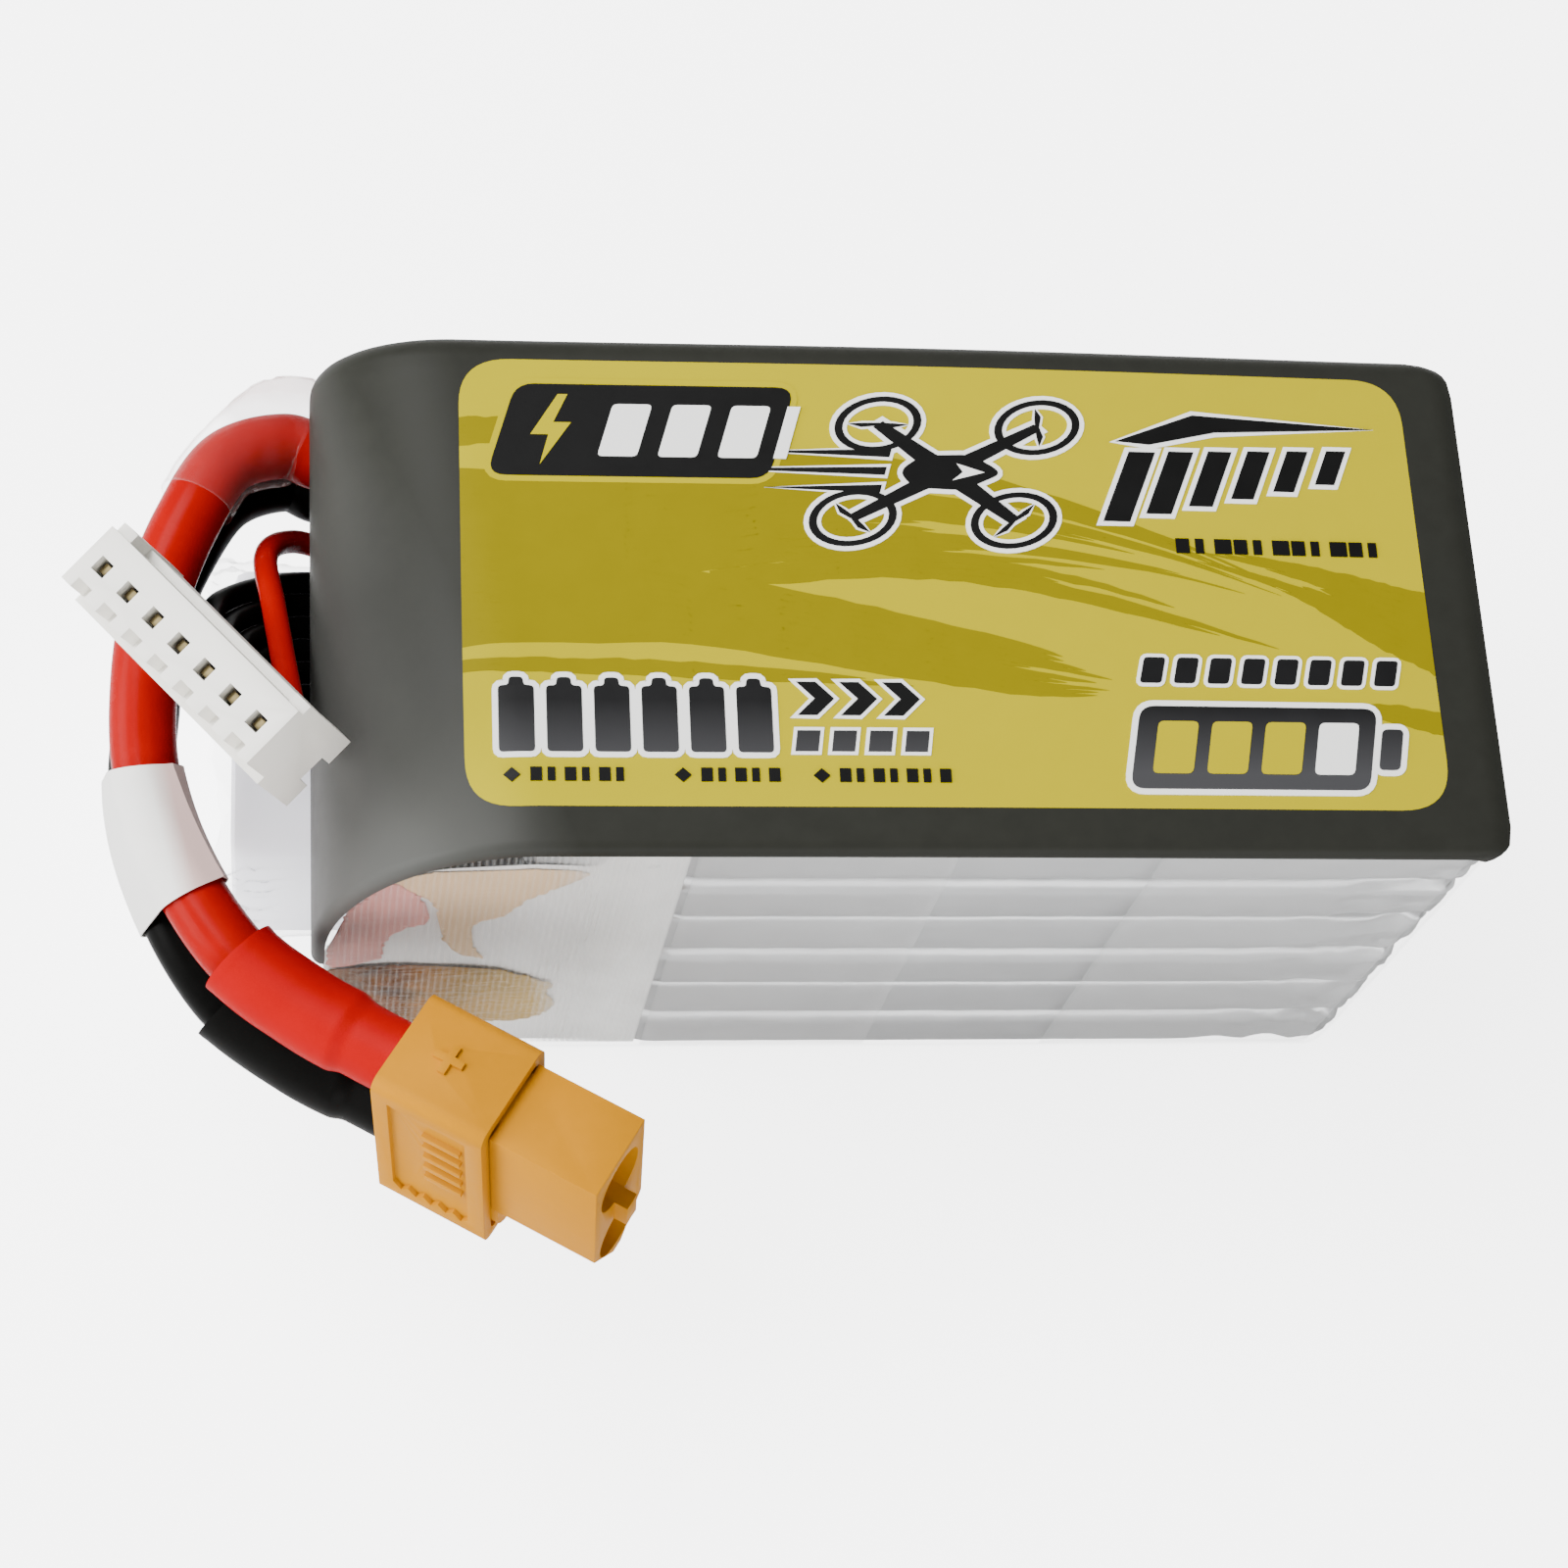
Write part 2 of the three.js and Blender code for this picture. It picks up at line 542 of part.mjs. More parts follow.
// The recessed panel of the cap's outer face: ribs, and a lower edge cut as teeth.
function panelCutter() {
  const { u0, u1, w0, w1, depth, teeth, tooth } = PANEL;
  const shape = new THREE.Shape();
  shape.moveTo(u0, w0);
  shape.lineTo(u1, w0);
  const step = (u1 - u0) / teeth;
  for (let i = 0; i < teeth; i++) {
    shape.lineTo(u1 - i * step, w1 - tooth);
    shape.lineTo(u1 - (i + 0.5) * step, w1);
  }
  shape.lineTo(u0, w1 - tooth);
  const sunk = extrude(shape, depth + 1).translate(0, 0, -CAP.t - 1);
  let panel = toSolid(sunk);
  for (const w of RIBS.w) {
    const rib = boxAt([RIBS.u0, RIBS.u1], [w, w + RIBS.width], [-CAP.t - 2, -CAP.t + 2]);
    panel = panel.subtract(toSolid(rib));
  }
  return panel;
}

function capGeometry() {
  const { length, w, t, wall, edge, inner, hole } = CAP;
  const section = roundedRect(-w, -t, w, t, all4(edge));
  const pocket = roundedRect(-w + wall, -t + wall, w - wall, t - wall, all4(inner));
  const holes = [-1, 1].map((pole) => plugBore(hole, -1, wall + 1, pole));
  const block = toSolid(alongX(section, 0, length, 3)).add(plusMark());
  const cutters = [alongX(pocket, wall, length + 1, 3), ...holes].map(toSolid);
  const body = cutters.reduce((solid, cutter) => solid.subtract(cutter), block);
  return inPlug(fromSolid(body.subtract(panelCutter())));
}

// A slotted socket with a solder cup at its rear.
function contactGeometry(pole) {
  const { r, bore, u0, u1, cup, cupEnd, web } = CONTACT;
  const middle = pole * POLE;
  const slot = boxAt([u1 - SLOT.length, u1 + 1], [middle - SLOT.half, middle + SLOT.half], [-2 * r, 2 * r]);
  const cutters = [plugBore(bore, cupEnd + web, u1 + 1, pole), plugBore(cup, u0 - 1, cupEnd, pole), slot];
  return inPlug(fromSolid(minus(plugBore(r, u0, u1, pole), ...cutters)));
}

// Balance connector.
const rowM = v3(ROW_M).normalize();
const rowA = v3(ROW_A).addScaledVector(rowM, -v3(ROW_A).dot(rowM)).normalize();
const rowB = rowM.clone().cross(rowA);

function inRow(geometry) {
  return placed(geometry, v3(ROW_CENTRE), rowA, rowB, rowM);
}

function poleOffset(index) {
  return (index - (POLES - 1) / 2) * POLE_PITCH;
}

function balanceHousingGeometry() {
  const { a, b, depth, flangeB, flangeTop } = BODY;
  const block = toSolid(boxAt([-a, a], [-b, b], [-depth, 0]));
  const flange = toSolid(boxAt([-a, a], [-flangeB, flangeB], [-depth, flangeTop]));
  const lips = [-1, 1].map((side) => {
    const x = [side * (a - LIP.a), side * a].sort((p, q) => p - q);
    return toSolid(boxAt(x, [b - 0.2, b + LIP.thick], [-depth, -LIP.rise]));
  });
  let body = block.add(flange).add(lips[0]).add(lips[1]);
  for (let i = 0; i < POLES; i++) {
    const x = poleOffset(i);
    const square = boxAt([x - HOLE_HALF, x + HOLE_HALF], [-HOLE_HALF, HOLE_HALF], [REAR_HOLE_TOP - 1, 1]);
    const round = new THREE.CylinderGeometry(REAR_HOLE_R, REAR_HOLE_R, depth + REAR_HOLE_TOP + 1, 12);
    round.rotateX(Math.PI / 2).translate(x, 0, (REAR_HOLE_TOP - depth - 1) / 2);
    const notch = boxAt([x - NOTCH.half, x + NOTCH.half], [-b - 1, -NOTCH.b], [-NOTCH.depth, 1]);
    for (const cutter of [square, round, notch]) body = body.subtract(toSolid(cutter));
  }
  const keyway = boxAt([a - KEYWAY.a, a + 1], [-KEYWAY.b, KEYWAY.b], [-depth - 1, -depth + KEYWAY.rise]);
  return inRow(fromSolid(body.subtract(toSolid(keyway))));
}

function terminalGeometry(index) {
  const { half, top, crimpTop, crimpR, end } = TERMINAL;
  const x = poleOffset(index);
  const blade = boxAt([x - half, x + half], [-half, half], [crimpTop - 0.5, top]);
  const crimp = new THREE.CylinderGeometry(crimpR, crimpR, crimpTop - end, 10);
  crimp.rotateX(Math.PI / 2).translate(x, 0, (crimpTop + end) / 2);
  return inRow(fromSolid(toSolid(blade).add(toSolid(crimp))));
}

// Where a balance wire's end joint sits: just behind the housing, on the pole's axis.
function rearPoint(index, back) {
  return v3(ROW_CENTRE)
    .addScaledVector(rowA, poleOffset(index))
    .addScaledVector(rowM, -BODY.depth - back)
    .toArray();
}

function thinWirePoints(index) {
  const last = [rearPoint(index, APPROACH), rearPoint(index, REAR_PIVOT)];
  if (index === POLES - 1) return [...RED_THIN, ...last];
  const rank = index - (POLES - 2) / 2;
  const fan = FAN.map(({ c, d, pitch }) => c.map((value, axis) => value + rank * pitch * d[axis]));
  return [...fan, ...last];
}

function thinWireGeometry(index) {
  const extrudePath = pathOf(thinWirePoints(index));
  const options = { steps: THIN_STEPS, bevelEnabled: false, extrudePath };
  return new THREE.ExtrudeGeometry(circle(THIN_R, THIN_SIDES), options);
}

const LOOKS = {
  foil: [0xc4c6c8, 0.3, 0.9],
  pad: [0xd9d6cc, 0.8, 0],
  nickel: [0xb9b8b0, 0.4, 0.9],
  board: [0x2d5a35, 0.6, 0],
  cover: [0xe6e6e8, 0.6, 0],
  film: [0xdfe6ea, 0.15, 0],
  tape: [0xe6e4dc, 0.5, 0],
  amber: [0x8e6432, 0.4, 0],
  paper: [0xd5c1a8, 0.7, 0],
  label: [0x383933, 0.5, 0],
  redWire: [0xc8120d, 0.45, 0],
  blackWire: [0x0b0b0a, 0.45, 0],
  band: [0xe1e0dc, 0.7, 0],
  redShrink: [0xe0292d, 0.4, 0],
  blackShrink: [0x141412, 0.4, 0],
  plug: [0xf2b02a, 0.4, 0],
  contact: [0xd8b45a, 0.3, 1],
  ivory: [0xedece7, 0.45, 0],
  brass: [0xb08f4a, 0.35, 1],
};

const pack = new THREE.Group();
pack.name = 'lipo_battery_pack';

function addMesh(name, geometry, look) {
  const [color, roughness, metalness] = LOOKS[look];
  const material = new THREE.MeshStandardMaterial({ color, roughness, metalness });
  if (look === 'film' || look === 'tape') {
    material.transparent = true;
    material.opacity = look === 'film' ? 0.3 : 0.75;
  }
  const mesh = new THREE.Mesh(geometry, material);
  mesh.name = name;
  pack.add(mesh);
}

for (let i = 0; i < CELL_COUNT; i++) addMesh(`cell_${i + 1}`, cellGeometry(i), 'foil');
for (let i = 0; i < CELL_COUNT - 1; i++) {
  addMesh(`cell_pad_${i + 1}`, padGeometry(i), 'pad');
  addMesh(`series_link_${i + 1}`, linkGeometry(i), 'nickel');
}
addMesh('negative_tab', endTabGeometry(0, -TAB_Y), 'nickel');
addMesh('positive_tab', endTabGeometry(CELL_COUNT - 1, -TAB_Y), 'nickel');
addMesh('terminal_board', boxAt([BOARD_X, BOARD_X + BOARD_THICK], BOARD_Y, BOARD_Z), 'board');
addMesh('terminal_cover', coverGeometry(), 'cover');
addMesh('adhesive_sheet', sheetGeometry(AMBER, LAYER), 'amber');
addMesh('paper_sheet', sheetGeometry(PAPER, LAYER), 'paper');
addMesh('filament_tape', tapeGeometry(), 'tape');
addMesh('clear_sleeve', sleeveGeometry(), 'film');
addMesh('sleeve_mouth', mouthGeometry(), 'film');
addMesh('label_wrap', labelGeometry(), 'label');

const red = powerStretches(redPath);
const black = powerStretches(blackPath);
addMesh('red_wire_root', red.root, 'redWire');
addMesh('black_wire_root', black.root, 'blackWire');
addMesh('red_wire_loop', red.loop, 'redWire');
addMesh('black_wire_loop', black.loop, 'blackWire');
addMesh('lead_collar', sweep(hollow(...COLLAR_R, WIRE_SIDES), redPath, COLLAR_SPAN, 4), 'film');
addMesh('red_wire_end', red.end, 'redWire');
addMesh('black_wire_end', black.end, 'blackWire');
addMesh('wire_band', bandGeometry(), 'band');
addMesh('red_heat_shrink', shrinkGeometry(redPath), 'redShrink');
addMesh('black_heat_shrink', shrinkGeometry(blackPath), 'blackShrink');
addMesh('plug_housing', housingGeometry(), 'plug');
addMesh('plug_cap', capGeometry(), 'plug');
addMesh('positive_contact', contactGeometry(-1), 'contact');
addMesh('negative_contact', contactGeometry(1), 'contact');

for (let i = 0; i < POLES; i++) {
  addMesh(`balance_wire_${i + 1}`, thinWireGeometry(i), i === POLES - 1 ? 'redWire' : 'blackWire');
  addMesh(`balance_terminal_${i + 1}`, terminalGeometry(i), 'brass');
}
addMesh('balance_housing', balanceHousingGeometry(), 'ivory');

export default pack;
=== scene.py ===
import json
import math
import random

import bmesh
import bpy
import numpy as np
from mathutils import Matrix, Vector, geometry, noise


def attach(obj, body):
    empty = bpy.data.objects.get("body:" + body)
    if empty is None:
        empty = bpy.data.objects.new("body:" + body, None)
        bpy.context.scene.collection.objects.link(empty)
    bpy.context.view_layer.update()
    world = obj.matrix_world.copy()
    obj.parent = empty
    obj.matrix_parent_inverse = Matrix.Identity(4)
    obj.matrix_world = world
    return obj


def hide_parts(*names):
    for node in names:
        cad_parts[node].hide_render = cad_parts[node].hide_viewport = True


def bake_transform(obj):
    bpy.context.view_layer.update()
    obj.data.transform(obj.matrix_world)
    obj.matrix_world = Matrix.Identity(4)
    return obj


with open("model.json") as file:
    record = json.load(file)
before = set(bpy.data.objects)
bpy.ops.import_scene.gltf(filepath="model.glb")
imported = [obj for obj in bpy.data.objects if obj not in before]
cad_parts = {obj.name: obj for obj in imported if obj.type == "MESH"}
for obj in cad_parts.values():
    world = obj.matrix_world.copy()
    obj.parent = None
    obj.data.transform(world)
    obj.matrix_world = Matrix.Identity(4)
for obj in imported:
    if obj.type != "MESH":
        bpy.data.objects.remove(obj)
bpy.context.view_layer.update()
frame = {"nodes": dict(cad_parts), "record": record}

MM = 0.001

# ---- pack outline, in mm
HALF_W = 19.2
HEIGHT = 45.0
X_END = 40.0
NEAR = dict(x=-25.3, z=25.0, a=15.0, b=20.0)
FAR = dict(x=-31.0, z=38.5, a=9.7, b=6.5)
LABEL_END = (22.5, 37.0)
R_NEAR, R_FAR, R_BASE = 0.9, 2.0, 2.6
CROWN = 0.45
END_DIP = 0.45
END_CORNER_FAR, END_CORNER_NEAR = 3.0, 1.8
LABEL_BASE_X, FILM_BASE_X, TAPE_BASE_X = -37.8, -40.2, -39.9
LABEL_THICK, FILM_THICK, TAPE_THICK, SHEET_THICK = 0.28, 0.08, 0.09, 0.04
FILM_INSET, TAPE_INSET = 0.45, 0.85
TAPE_EDGE_X = -15.5
RIB_PITCH = 0.47

# Cells.
CELL_BASE, CELL_PITCH, CELL_GAP = 1.24, 7.1, 0.08
CELL_NEAR, CELL_FAR = -17.85, 18.0
CELL_X0, CELL_X1 = -26.6, 39.35
SEAM_ROUND, FOLD_ROUND = 0.6, 1.9

# Leads.
WIRE_R, THIN_R = 2.3, 0.85
SENSE_PITCH, SENSE_DEPTH = 2.5, 9.8
SHRINK_R, SHRINK_NECK_R = 2.92, 2.62
BAND_R = 2.52

# Materials: how far the grain changes the roughness, and how high a bump of strength 1 is, in metres.
ROUGH_SPREAD = 0.06
BUMP_HEIGHT = 0.0002

# Artwork: the yellow panel's x0, x1, y0, y1, and how far each raised island lies above the last.
PANEL = (-30.7, 35.9, -16.0, 16.9)
PRINT_STEP = 0.0003
PRINT_THICK = 0.03


# ---- mesh helpers
def put(name, data):
    """A new object in the scene."""
    obj = bpy.data.objects.new(name, data)
    bpy.context.scene.collection.objects.link(obj)
    return obj


def add_piece(name, verts, faces, mat, body=None, sharp=0):
    """A smooth piece from points in mm. Its edges over the sharp angle, if any, are kept."""
    mesh = bpy.data.meshes.new(name)
    mesh.from_pydata((np.asarray(verts, float) * MM).tolist(), [], faces)
    mesh.materials.append(mat)
    mesh.polygons.foreach_set("use_smooth", [True] * len(mesh.polygons))
    mesh.update()
    if sharp:
        mesh.set_sharp_from_angle(angle=math.radians(sharp))
    obj = put(name, mesh)
    if body:
        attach(obj, body)
    return obj


def grid_normals(points, wrap=False):
    du = np.gradient(points, axis=0)
    if wrap:
        dv = np.roll(points, -1, axis=1) - np.roll(points, 1, axis=1)
    else:
        dv = np.gradient(points, axis=1)
    n = np.cross(du, dv)
    size = np.linalg.norm(n, axis=2, keepdims=True)
    for i in range(1, len(n)):
        bad = size[i, :, 0] < 1e-9
        n[i, bad] = n[i - 1, bad]
        size[i, bad] = size[i - 1, bad]
    return n / np.maximum(size, 1e-9)


def closed_sheet(points, thickness, wrap=False, flip=False):
    """Vertices and faces of a grid given thickness on its inner side, closed all round."""
    rows, cols = points.shape[:2]
    inner = points - grid_normals(points, wrap) * (-thickness if flip else thickness)
    count = rows * cols
    verts = np.concatenate([points.reshape(-1, 3), inner.reshape(-1, 3)])
    faces = []

    def add(quad, turned):
        faces.append(quad[::-1] if turned != flip else quad)
    last = cols if wrap else cols - 1
    for i in range(rows - 1):
        for j in range(last):
            k = (j + 1) % cols
            quad = [i * cols + j, (i + 1) * cols + j, (i + 1) * cols + k, i * cols + k]
            add(quad, False)
            add([q + count for q in quad], True)
    for j in range(last):
        k = (j + 1) % cols
        for i, turned in ((0, False), (count - cols, True)):
            add([i + j, i + k, i + k + count, i + j + count], turned)
    if not wrap:
        for i in range(0, count - cols, cols):
            for j, turned in ((i, True), (i + cols - 1, False)):
                add([j, j + cols, j + cols + count, j + count], turned)
    return verts, faces


def fix_normals(obj):
    bm = bmesh.new()
    bm.from_mesh(obj.data)
    bmesh.ops.recalc_face_normals(bm, faces=bm.faces)
    bm.to_mesh(obj.data)
    bm.free()
    return obj


def sheet_piece(name, points, thickness, mat, body=None, node=None, wrap=False, flip=False, sharp=0):
    """A piece made of a closed sheet, in place of a CAD node when one is named."""
    verts, faces = closed_sheet(points, thickness, wrap, flip)
    obj = fix_normals(add_piece(name, verts, faces, mat, body, sharp=sharp))
    if node:
        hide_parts(node)
    return obj


def densified(loop, step):
    """A closed loop with points added along its sides, measured on the first two columns."""
    dense = []
    for k in range(len(loop)):
        p, q = loop[k], loop[(k + 1) % len(loop)]
        steps = max(1, int(np.linalg.norm((q - p)[:2]) / step))
        dense += [p + (q - p) * s / steps for s in range(steps)]
    return np.array(dense)


def tube_faces(rows, sides):
    """Faces of rings of points one after another, closed at both ends."""
    faces = []
    for i in range(rows - 1):
        for j in range(sides):
            k = (j + 1) % sides
            faces.append([i * sides + j, i * sides + k, (i + 1) * sides + k, (i + 1) * sides + j])
    faces.append(list(range(sides))[::-1])
    faces.append([(rows - 1) * sides + j for j in range(sides)])
    return faces


def catmull(points, t):
    """Points of a uniform Catmull-Rom curve at t counted in control points."""
    p = np.asarray(points, float)
    p = np.concatenate([[2 * p[0] - p[1]], p, [2 * p[-1] - p[-2]]])
    t = np.atleast_1d(np.asarray(t, float))
    i = np.clip(t.astype(int), 0, len(p) - 4)
    u = (t - i)[:, None]
    p0, p1, p2, p3 = p[i], p[i + 1], p[i + 2], p[i + 3]
    return 0.5 * (
        2 * p1 + (p2 - p0) * u + (2 * p0 - 5 * p1 + 4 * p2 - p3) * u**2
        + (3 * p1 - p0 - 3 * p2 + p3) * u**3
    )


def unit(vectors):
    return vectors / np.linalg.norm(vectors, axis=-1, keepdims=True)


def upright_frames(path, ups=None):
    tangent = unit(np.gradient(path, axis=0))
    ups = np.tile([0.0, 0.0, 1.0], (len(path), 1)) if ups is None else ups
    across = unit(np.cross(ups, tangent))
    return tangent, across, np.cross(tangent, across)


def carried_frames(path):
    """Frames that turn as little as they can along the path."""
    tangent = unit(np.gradient(path, axis=0))
    side = unit(np.cross([0.0, 0.0, 1.0], tangent[0]))
    sides = []
    for k in tangent:
        side = unit(side - k * (side @ k))
        sides.append(side)
    sides = np.array(sides)
    return tangent, sides, np.cross(tangent, sides)


def rings(frames, sides):
    """Unit vectors round a path, a ring at each of its frames."""
    _, across, up = frames
    angle = np.linspace(0, 2 * np.pi, sides, endpoint=False)
    return np.cos(angle)[None, :, None] * across[:, None] + np.sin(angle)[None, :, None] * up[:, None]


def tube(path, radii, sides, frames):
    """A closed tube; radii is one number for all or one for each station."""
    radii = np.broadcast_to(radii, len(path))
    ring = radii[:, None, None] * rings(frames, sides)
    return (path[:, None] + ring).reshape(-1, 3), tube_faces(len(path), sides)


def smoothstep(x):
    x = np.clip(x, 0, 1)
    return x * x * (3 - 2 * x)


def rough(points, scale, seed=0.0):
    """Perlin noise at each point, about -1 to 1."""
    flat = np.asarray(points, float).reshape(-1, 3) * scale + seed
    out = np.array([noise.noise(Vector(p)) for p in flat])
    return out.reshape(np.asarray(points).shape[:-1])


# ---- materials
def add_node(tree, kind, inputs=(), **settings):
    """A shader node. Each input is a value or the socket that drives it."""
    node = tree.nodes.new("ShaderNode" + kind)
    for key, value in settings.items():
        setattr(node, key, value)
    for key, value in dict(inputs).items():
        if isinstance(value, bpy.types.NodeSocket):
            tree.links.new(value, node.inputs[key])
        else:
            node.inputs[key].default_value = value
    return node


def link_math(tree, operation, *values, clamp=False):
    return add_node(tree, "Math", enumerate(values), operation=operation, use_clamp=clamp).outputs["Value"]


def object_coordinates(tree):
    return add_node(tree, "TexCoord").outputs["Object"]


def ramp_between(tree, value, start, end, low=0.0, high=1.0):
    inputs = {"Value": value, "From Min": start, "From Max": end, "To Min": low, "To Max": high}
    return add_node(tree, "MapRange", inputs).outputs["Result"]


def node_material(name, color, roughness, metallic=0.0, tint=0.05, scale=900.0, bump=0.0,
                  bump_scale=None, specular=0.3):
    """Colours are linear. The grain varies the colour and the roughness a little."""
    mat = bpy.data.materials.new(name)
    mat.use_nodes = True
    tree = mat.node_tree
    bsdf = tree.nodes["Principled BSDF"].inputs
    coords = object_coordinates(tree)
    grain = add_node(tree, "TexNoise", {"Scale": scale, "Detail": 4.0, "Vector": coords}).outputs["Fac"]
    ramp = add_node(tree, "ValToRGB", {"Fac": grain})
    for stop, position, change in zip(ramp.color_ramp.elements, (0.3, 0.7), (1 - tint, 1 + tint)):
        stop.position = position
        stop.color = (*[min(c * change, 1) for c in color], 1)
    tree.links.new(ramp.outputs["Color"], bsdf["Base Color"])
    low, high = max(roughness - ROUGH_SPREAD, 0.02), min(roughness + ROUGH_SPREAD, 1.0)
    tree.links.new(ramp_between(tree, grain, 0.0, 1.0, low, high), bsdf["Roughness"])
    bsdf["Metallic"].default_value = metallic
    bsdf["Specular IOR Level"].default_value = specular
    if bump:
        fine = add_node(tree, "TexNoise", {"Scale": bump_scale or scale, "Detail": 3.0, "Vector": coords})
        height = {"Strength": bump, "Distance": BUMP_HEIGHT, "Height": fine.outputs["Fac"]}
        tree.links.new(add_node(tree, "Bump", height).outputs["Normal"], bsdf["Normal"])
    return mat


def glowing(mat, color, strength):
    """Adds light of its own to a material. The strength is a number or a socket."""
    bsdf = mat.node_tree.nodes["Principled BSDF"].inputs
    bsdf["Emission Color"].default_value = (*color, 1)
    if isinstance(strength, bpy.types.NodeSocket):
        mat.node_tree.links.new(strength, bsdf["Emission Strength"])
    else:
        bsdf["Emission Strength"].default_value = strength
    return mat


def coordinate_along(tree, way):
    """The object coordinate along a direction, in metres."""
    coords = object_coordinates(tree)
    return add_node(tree, "VectorMath", {0: coords, 1: way}, operation="DOT_PRODUCT").outputs["Value"]


def blended_along(mat, way, start, end, color):
    """Adds a smooth change of a material's colour to another between two coordinates in metres."""
    tree = mat.node_tree
    base = tree.nodes["Principled BSDF"].inputs["Base Color"]
    source = base.links[0].from_socket
    mix = add_node(tree, "Mix", data_type="RGBA")
    tree.links.new(ramp_between(tree, coordinate_along(tree, way), start, end), mix.inputs[0])
    tree.links.new(source, mix.inputs[6])
    mix.inputs[7].default_value = (*color, 1)
    tree.links.new(mix.outputs[2], base)
    return mat


def film_material(name, color, body, gloss, roughness, bump=0.2, bump_scale=300.0, ribs=None, milky=None):
    """See-through film. Body is how much of it is seen head on, and gloss scales what the
    grazing angle adds. Ribs is a pitch in metres and how far they change the body. Milky is
    the way along which the film turns cloudy, where, over what length, how much body that
    adds and how far the border wanders."""
    mat = node_material(name, color, roughness, scale=260.0, bump=bump, bump_scale=bump_scale, specular=0.5)
    tree = mat.node_tree
    clear = add_node(tree, "BsdfTransparent")
    mix = add_node(tree, "MixShader")
    facing = add_node(tree, "LayerWeight", {"Blend": 0.5}).outputs["Facing"]
    edge = link_math(tree, "POWER", facing, 4.0)
    total = link_math(tree, "ADD", link_math(tree, "MULTIPLY", edge, gloss), body)
    if ribs:
        along = coordinate_along(tree, (1, 0, 0))
        wave = link_math(tree, "SINE", link_math(tree, "MULTIPLY", along, 2 * math.pi / ribs[0]))
        total = link_math(tree, "ADD", link_math(tree, "MULTIPLY", wave, ribs[1]), total)
    if milky:
        drift = add_node(tree, "TexNoise", {"Scale": 90.0, "Vector": object_coordinates(tree)})
        way, start, length, amount, wander = milky
        border = link_math(tree, "MULTIPLY", drift.outputs["Fac"], wander)
        shifted = link_math(tree, "ADD", coordinate_along(tree, way), border)
        start += wander / 2
        cloud = ramp_between(tree, shifted, start, start + length, 0.0, amount)
        total = link_math(tree, "ADD", total, cloud)
    total = link_math(tree, "MAXIMUM", total, 0.0, clamp=True)
    tree.links.new(total, mix.inputs["Fac"])
    tree.links.new(clear.outputs["BSDF"], mix.inputs[1])
    tree.links.new(tree.nodes["Principled BSDF"].outputs["BSDF"], mix.inputs[2])
    tree.links.new(mix.outputs["Shader"], tree.nodes["Material Output"].inputs["Surface"])
    return mat


# The label's black turns lighter along x towards the nose's free end: painted sheen of the light from the left.
LABEL_BLACK_PAINTED_SHEEN = blended_along(
    node_material("label_black", (0.0185, 0.019, 0.0155), 0.45, scale=700, bump=0.02, specular=0.08),
    (1, 0.42, 0), -0.031, -0.0475, (0.09, 0.091, 0.086),
)


def ink(name, color, roughness, tint, specular):
    return node_material("print_" + name, color, roughness, tint=tint, scale=500, specular=specular)


PRINT_YELLOW = ink("yellow", (0.4, 0.335, 0.0), 0.5, 0.01, 0.03)
PRINT_OLIVE = ink("olive", (0.2, 0.163, 0.0), 0.5, 0.02, 0.03)
PRINT_BLACK = ink("black", (0.004, 0.004, 0.004), 0.45, 0.1, 0.1)
PRINT_GREY = blended_along(
    ink("grey", (0.007, 0.007, 0.0075), 0.45, 0.1, 0.1), (0, 1, 0), -0.0085, -0.0135, (0.045, 0.045, 0.048),
)
PRINT_WHITE = ink("white", (0.86, 0.86, 0.84), 0.5, 0.01, 0.1)
FOIL = node_material("pouch_foil", (0.44, 0.445, 0.45), 0.3, metallic=0.8, scale=220, bump=0.3, bump_scale=420)
# The pads between the pouches are near black: painted shade that draws the dark lines in the grooves between the
# pouches.
PAD_PAINTED_SHADE = node_material("pad_painted_shade", (0.05, 0.05, 0.05), 0.8, bump=0.3)
NICKEL = node_material("nickel", (0.52, 0.5, 0.45), 0.35, metallic=1.0, bump=0.1)
BOARD = node_material("board_green", (0.025, 0.1, 0.037), 0.45, bump=0.1)
# The white block gives off light of its own: painted light that lifts it out of the shade under the nose and the
# leads.
BLOCK_PAINTED_GLOW = glowing(node_material("cover_white", (0.93, 0.93, 0.98), 0.6, tint=0.015, scale=300, bump=0.06),
                (0.93, 0.93, 1), 0.9)
RED_SILICONE = node_material("red_silicone", (0.3, 0.0, 0.0), 0.26, tint=0.04, scale=500,
                             bump=0.04, specular=0.045)
BLACK_SILICONE = node_material("black_silicone", (0.0022, 0.0022, 0.002), 0.3, tint=0.1, scale=500,
                               bump=0.04, specular=0.03)
RED_SHRINK = node_material("red_shrink", (0.36, 0.0, 0.002), 0.4, tint=0.03, scale=400, bump=0.1, specular=0.03)
BLACK_SHRINK = node_material("black_shrink", (0.003, 0.003, 0.0027), 0.42, tint=0.1, scale=400, bump=0.1,
                             specular=0.04)
# The band's paper turns a darker pink towards larger x: painted shade on that side of the band.
PAPER_BAND_PAINTED_SHADE = blended_along(
    node_material("paper_band", (0.82, 0.81, 0.78), 0.6, tint=0.015, scale=600, bump=0.05),
    (1, 0.25, 0), -0.0537, -0.0522, (0.62, 0.44, 0.41),
)
PLUG_NYLON = node_material("plug_nylon", (0.46, 0.185, 0.0), 0.42, tint=0.02, bump=0.08, specular=0.03)
GOLD = node_material("gold_plate", (0.75, 0.45, 0.12), 0.25, metallic=1.0)
IVORY = node_material("ivory_nylon", (0.86, 0.84, 0.78), 0.42, tint=0.01, scale=800, bump=0.04, specular=0.4)
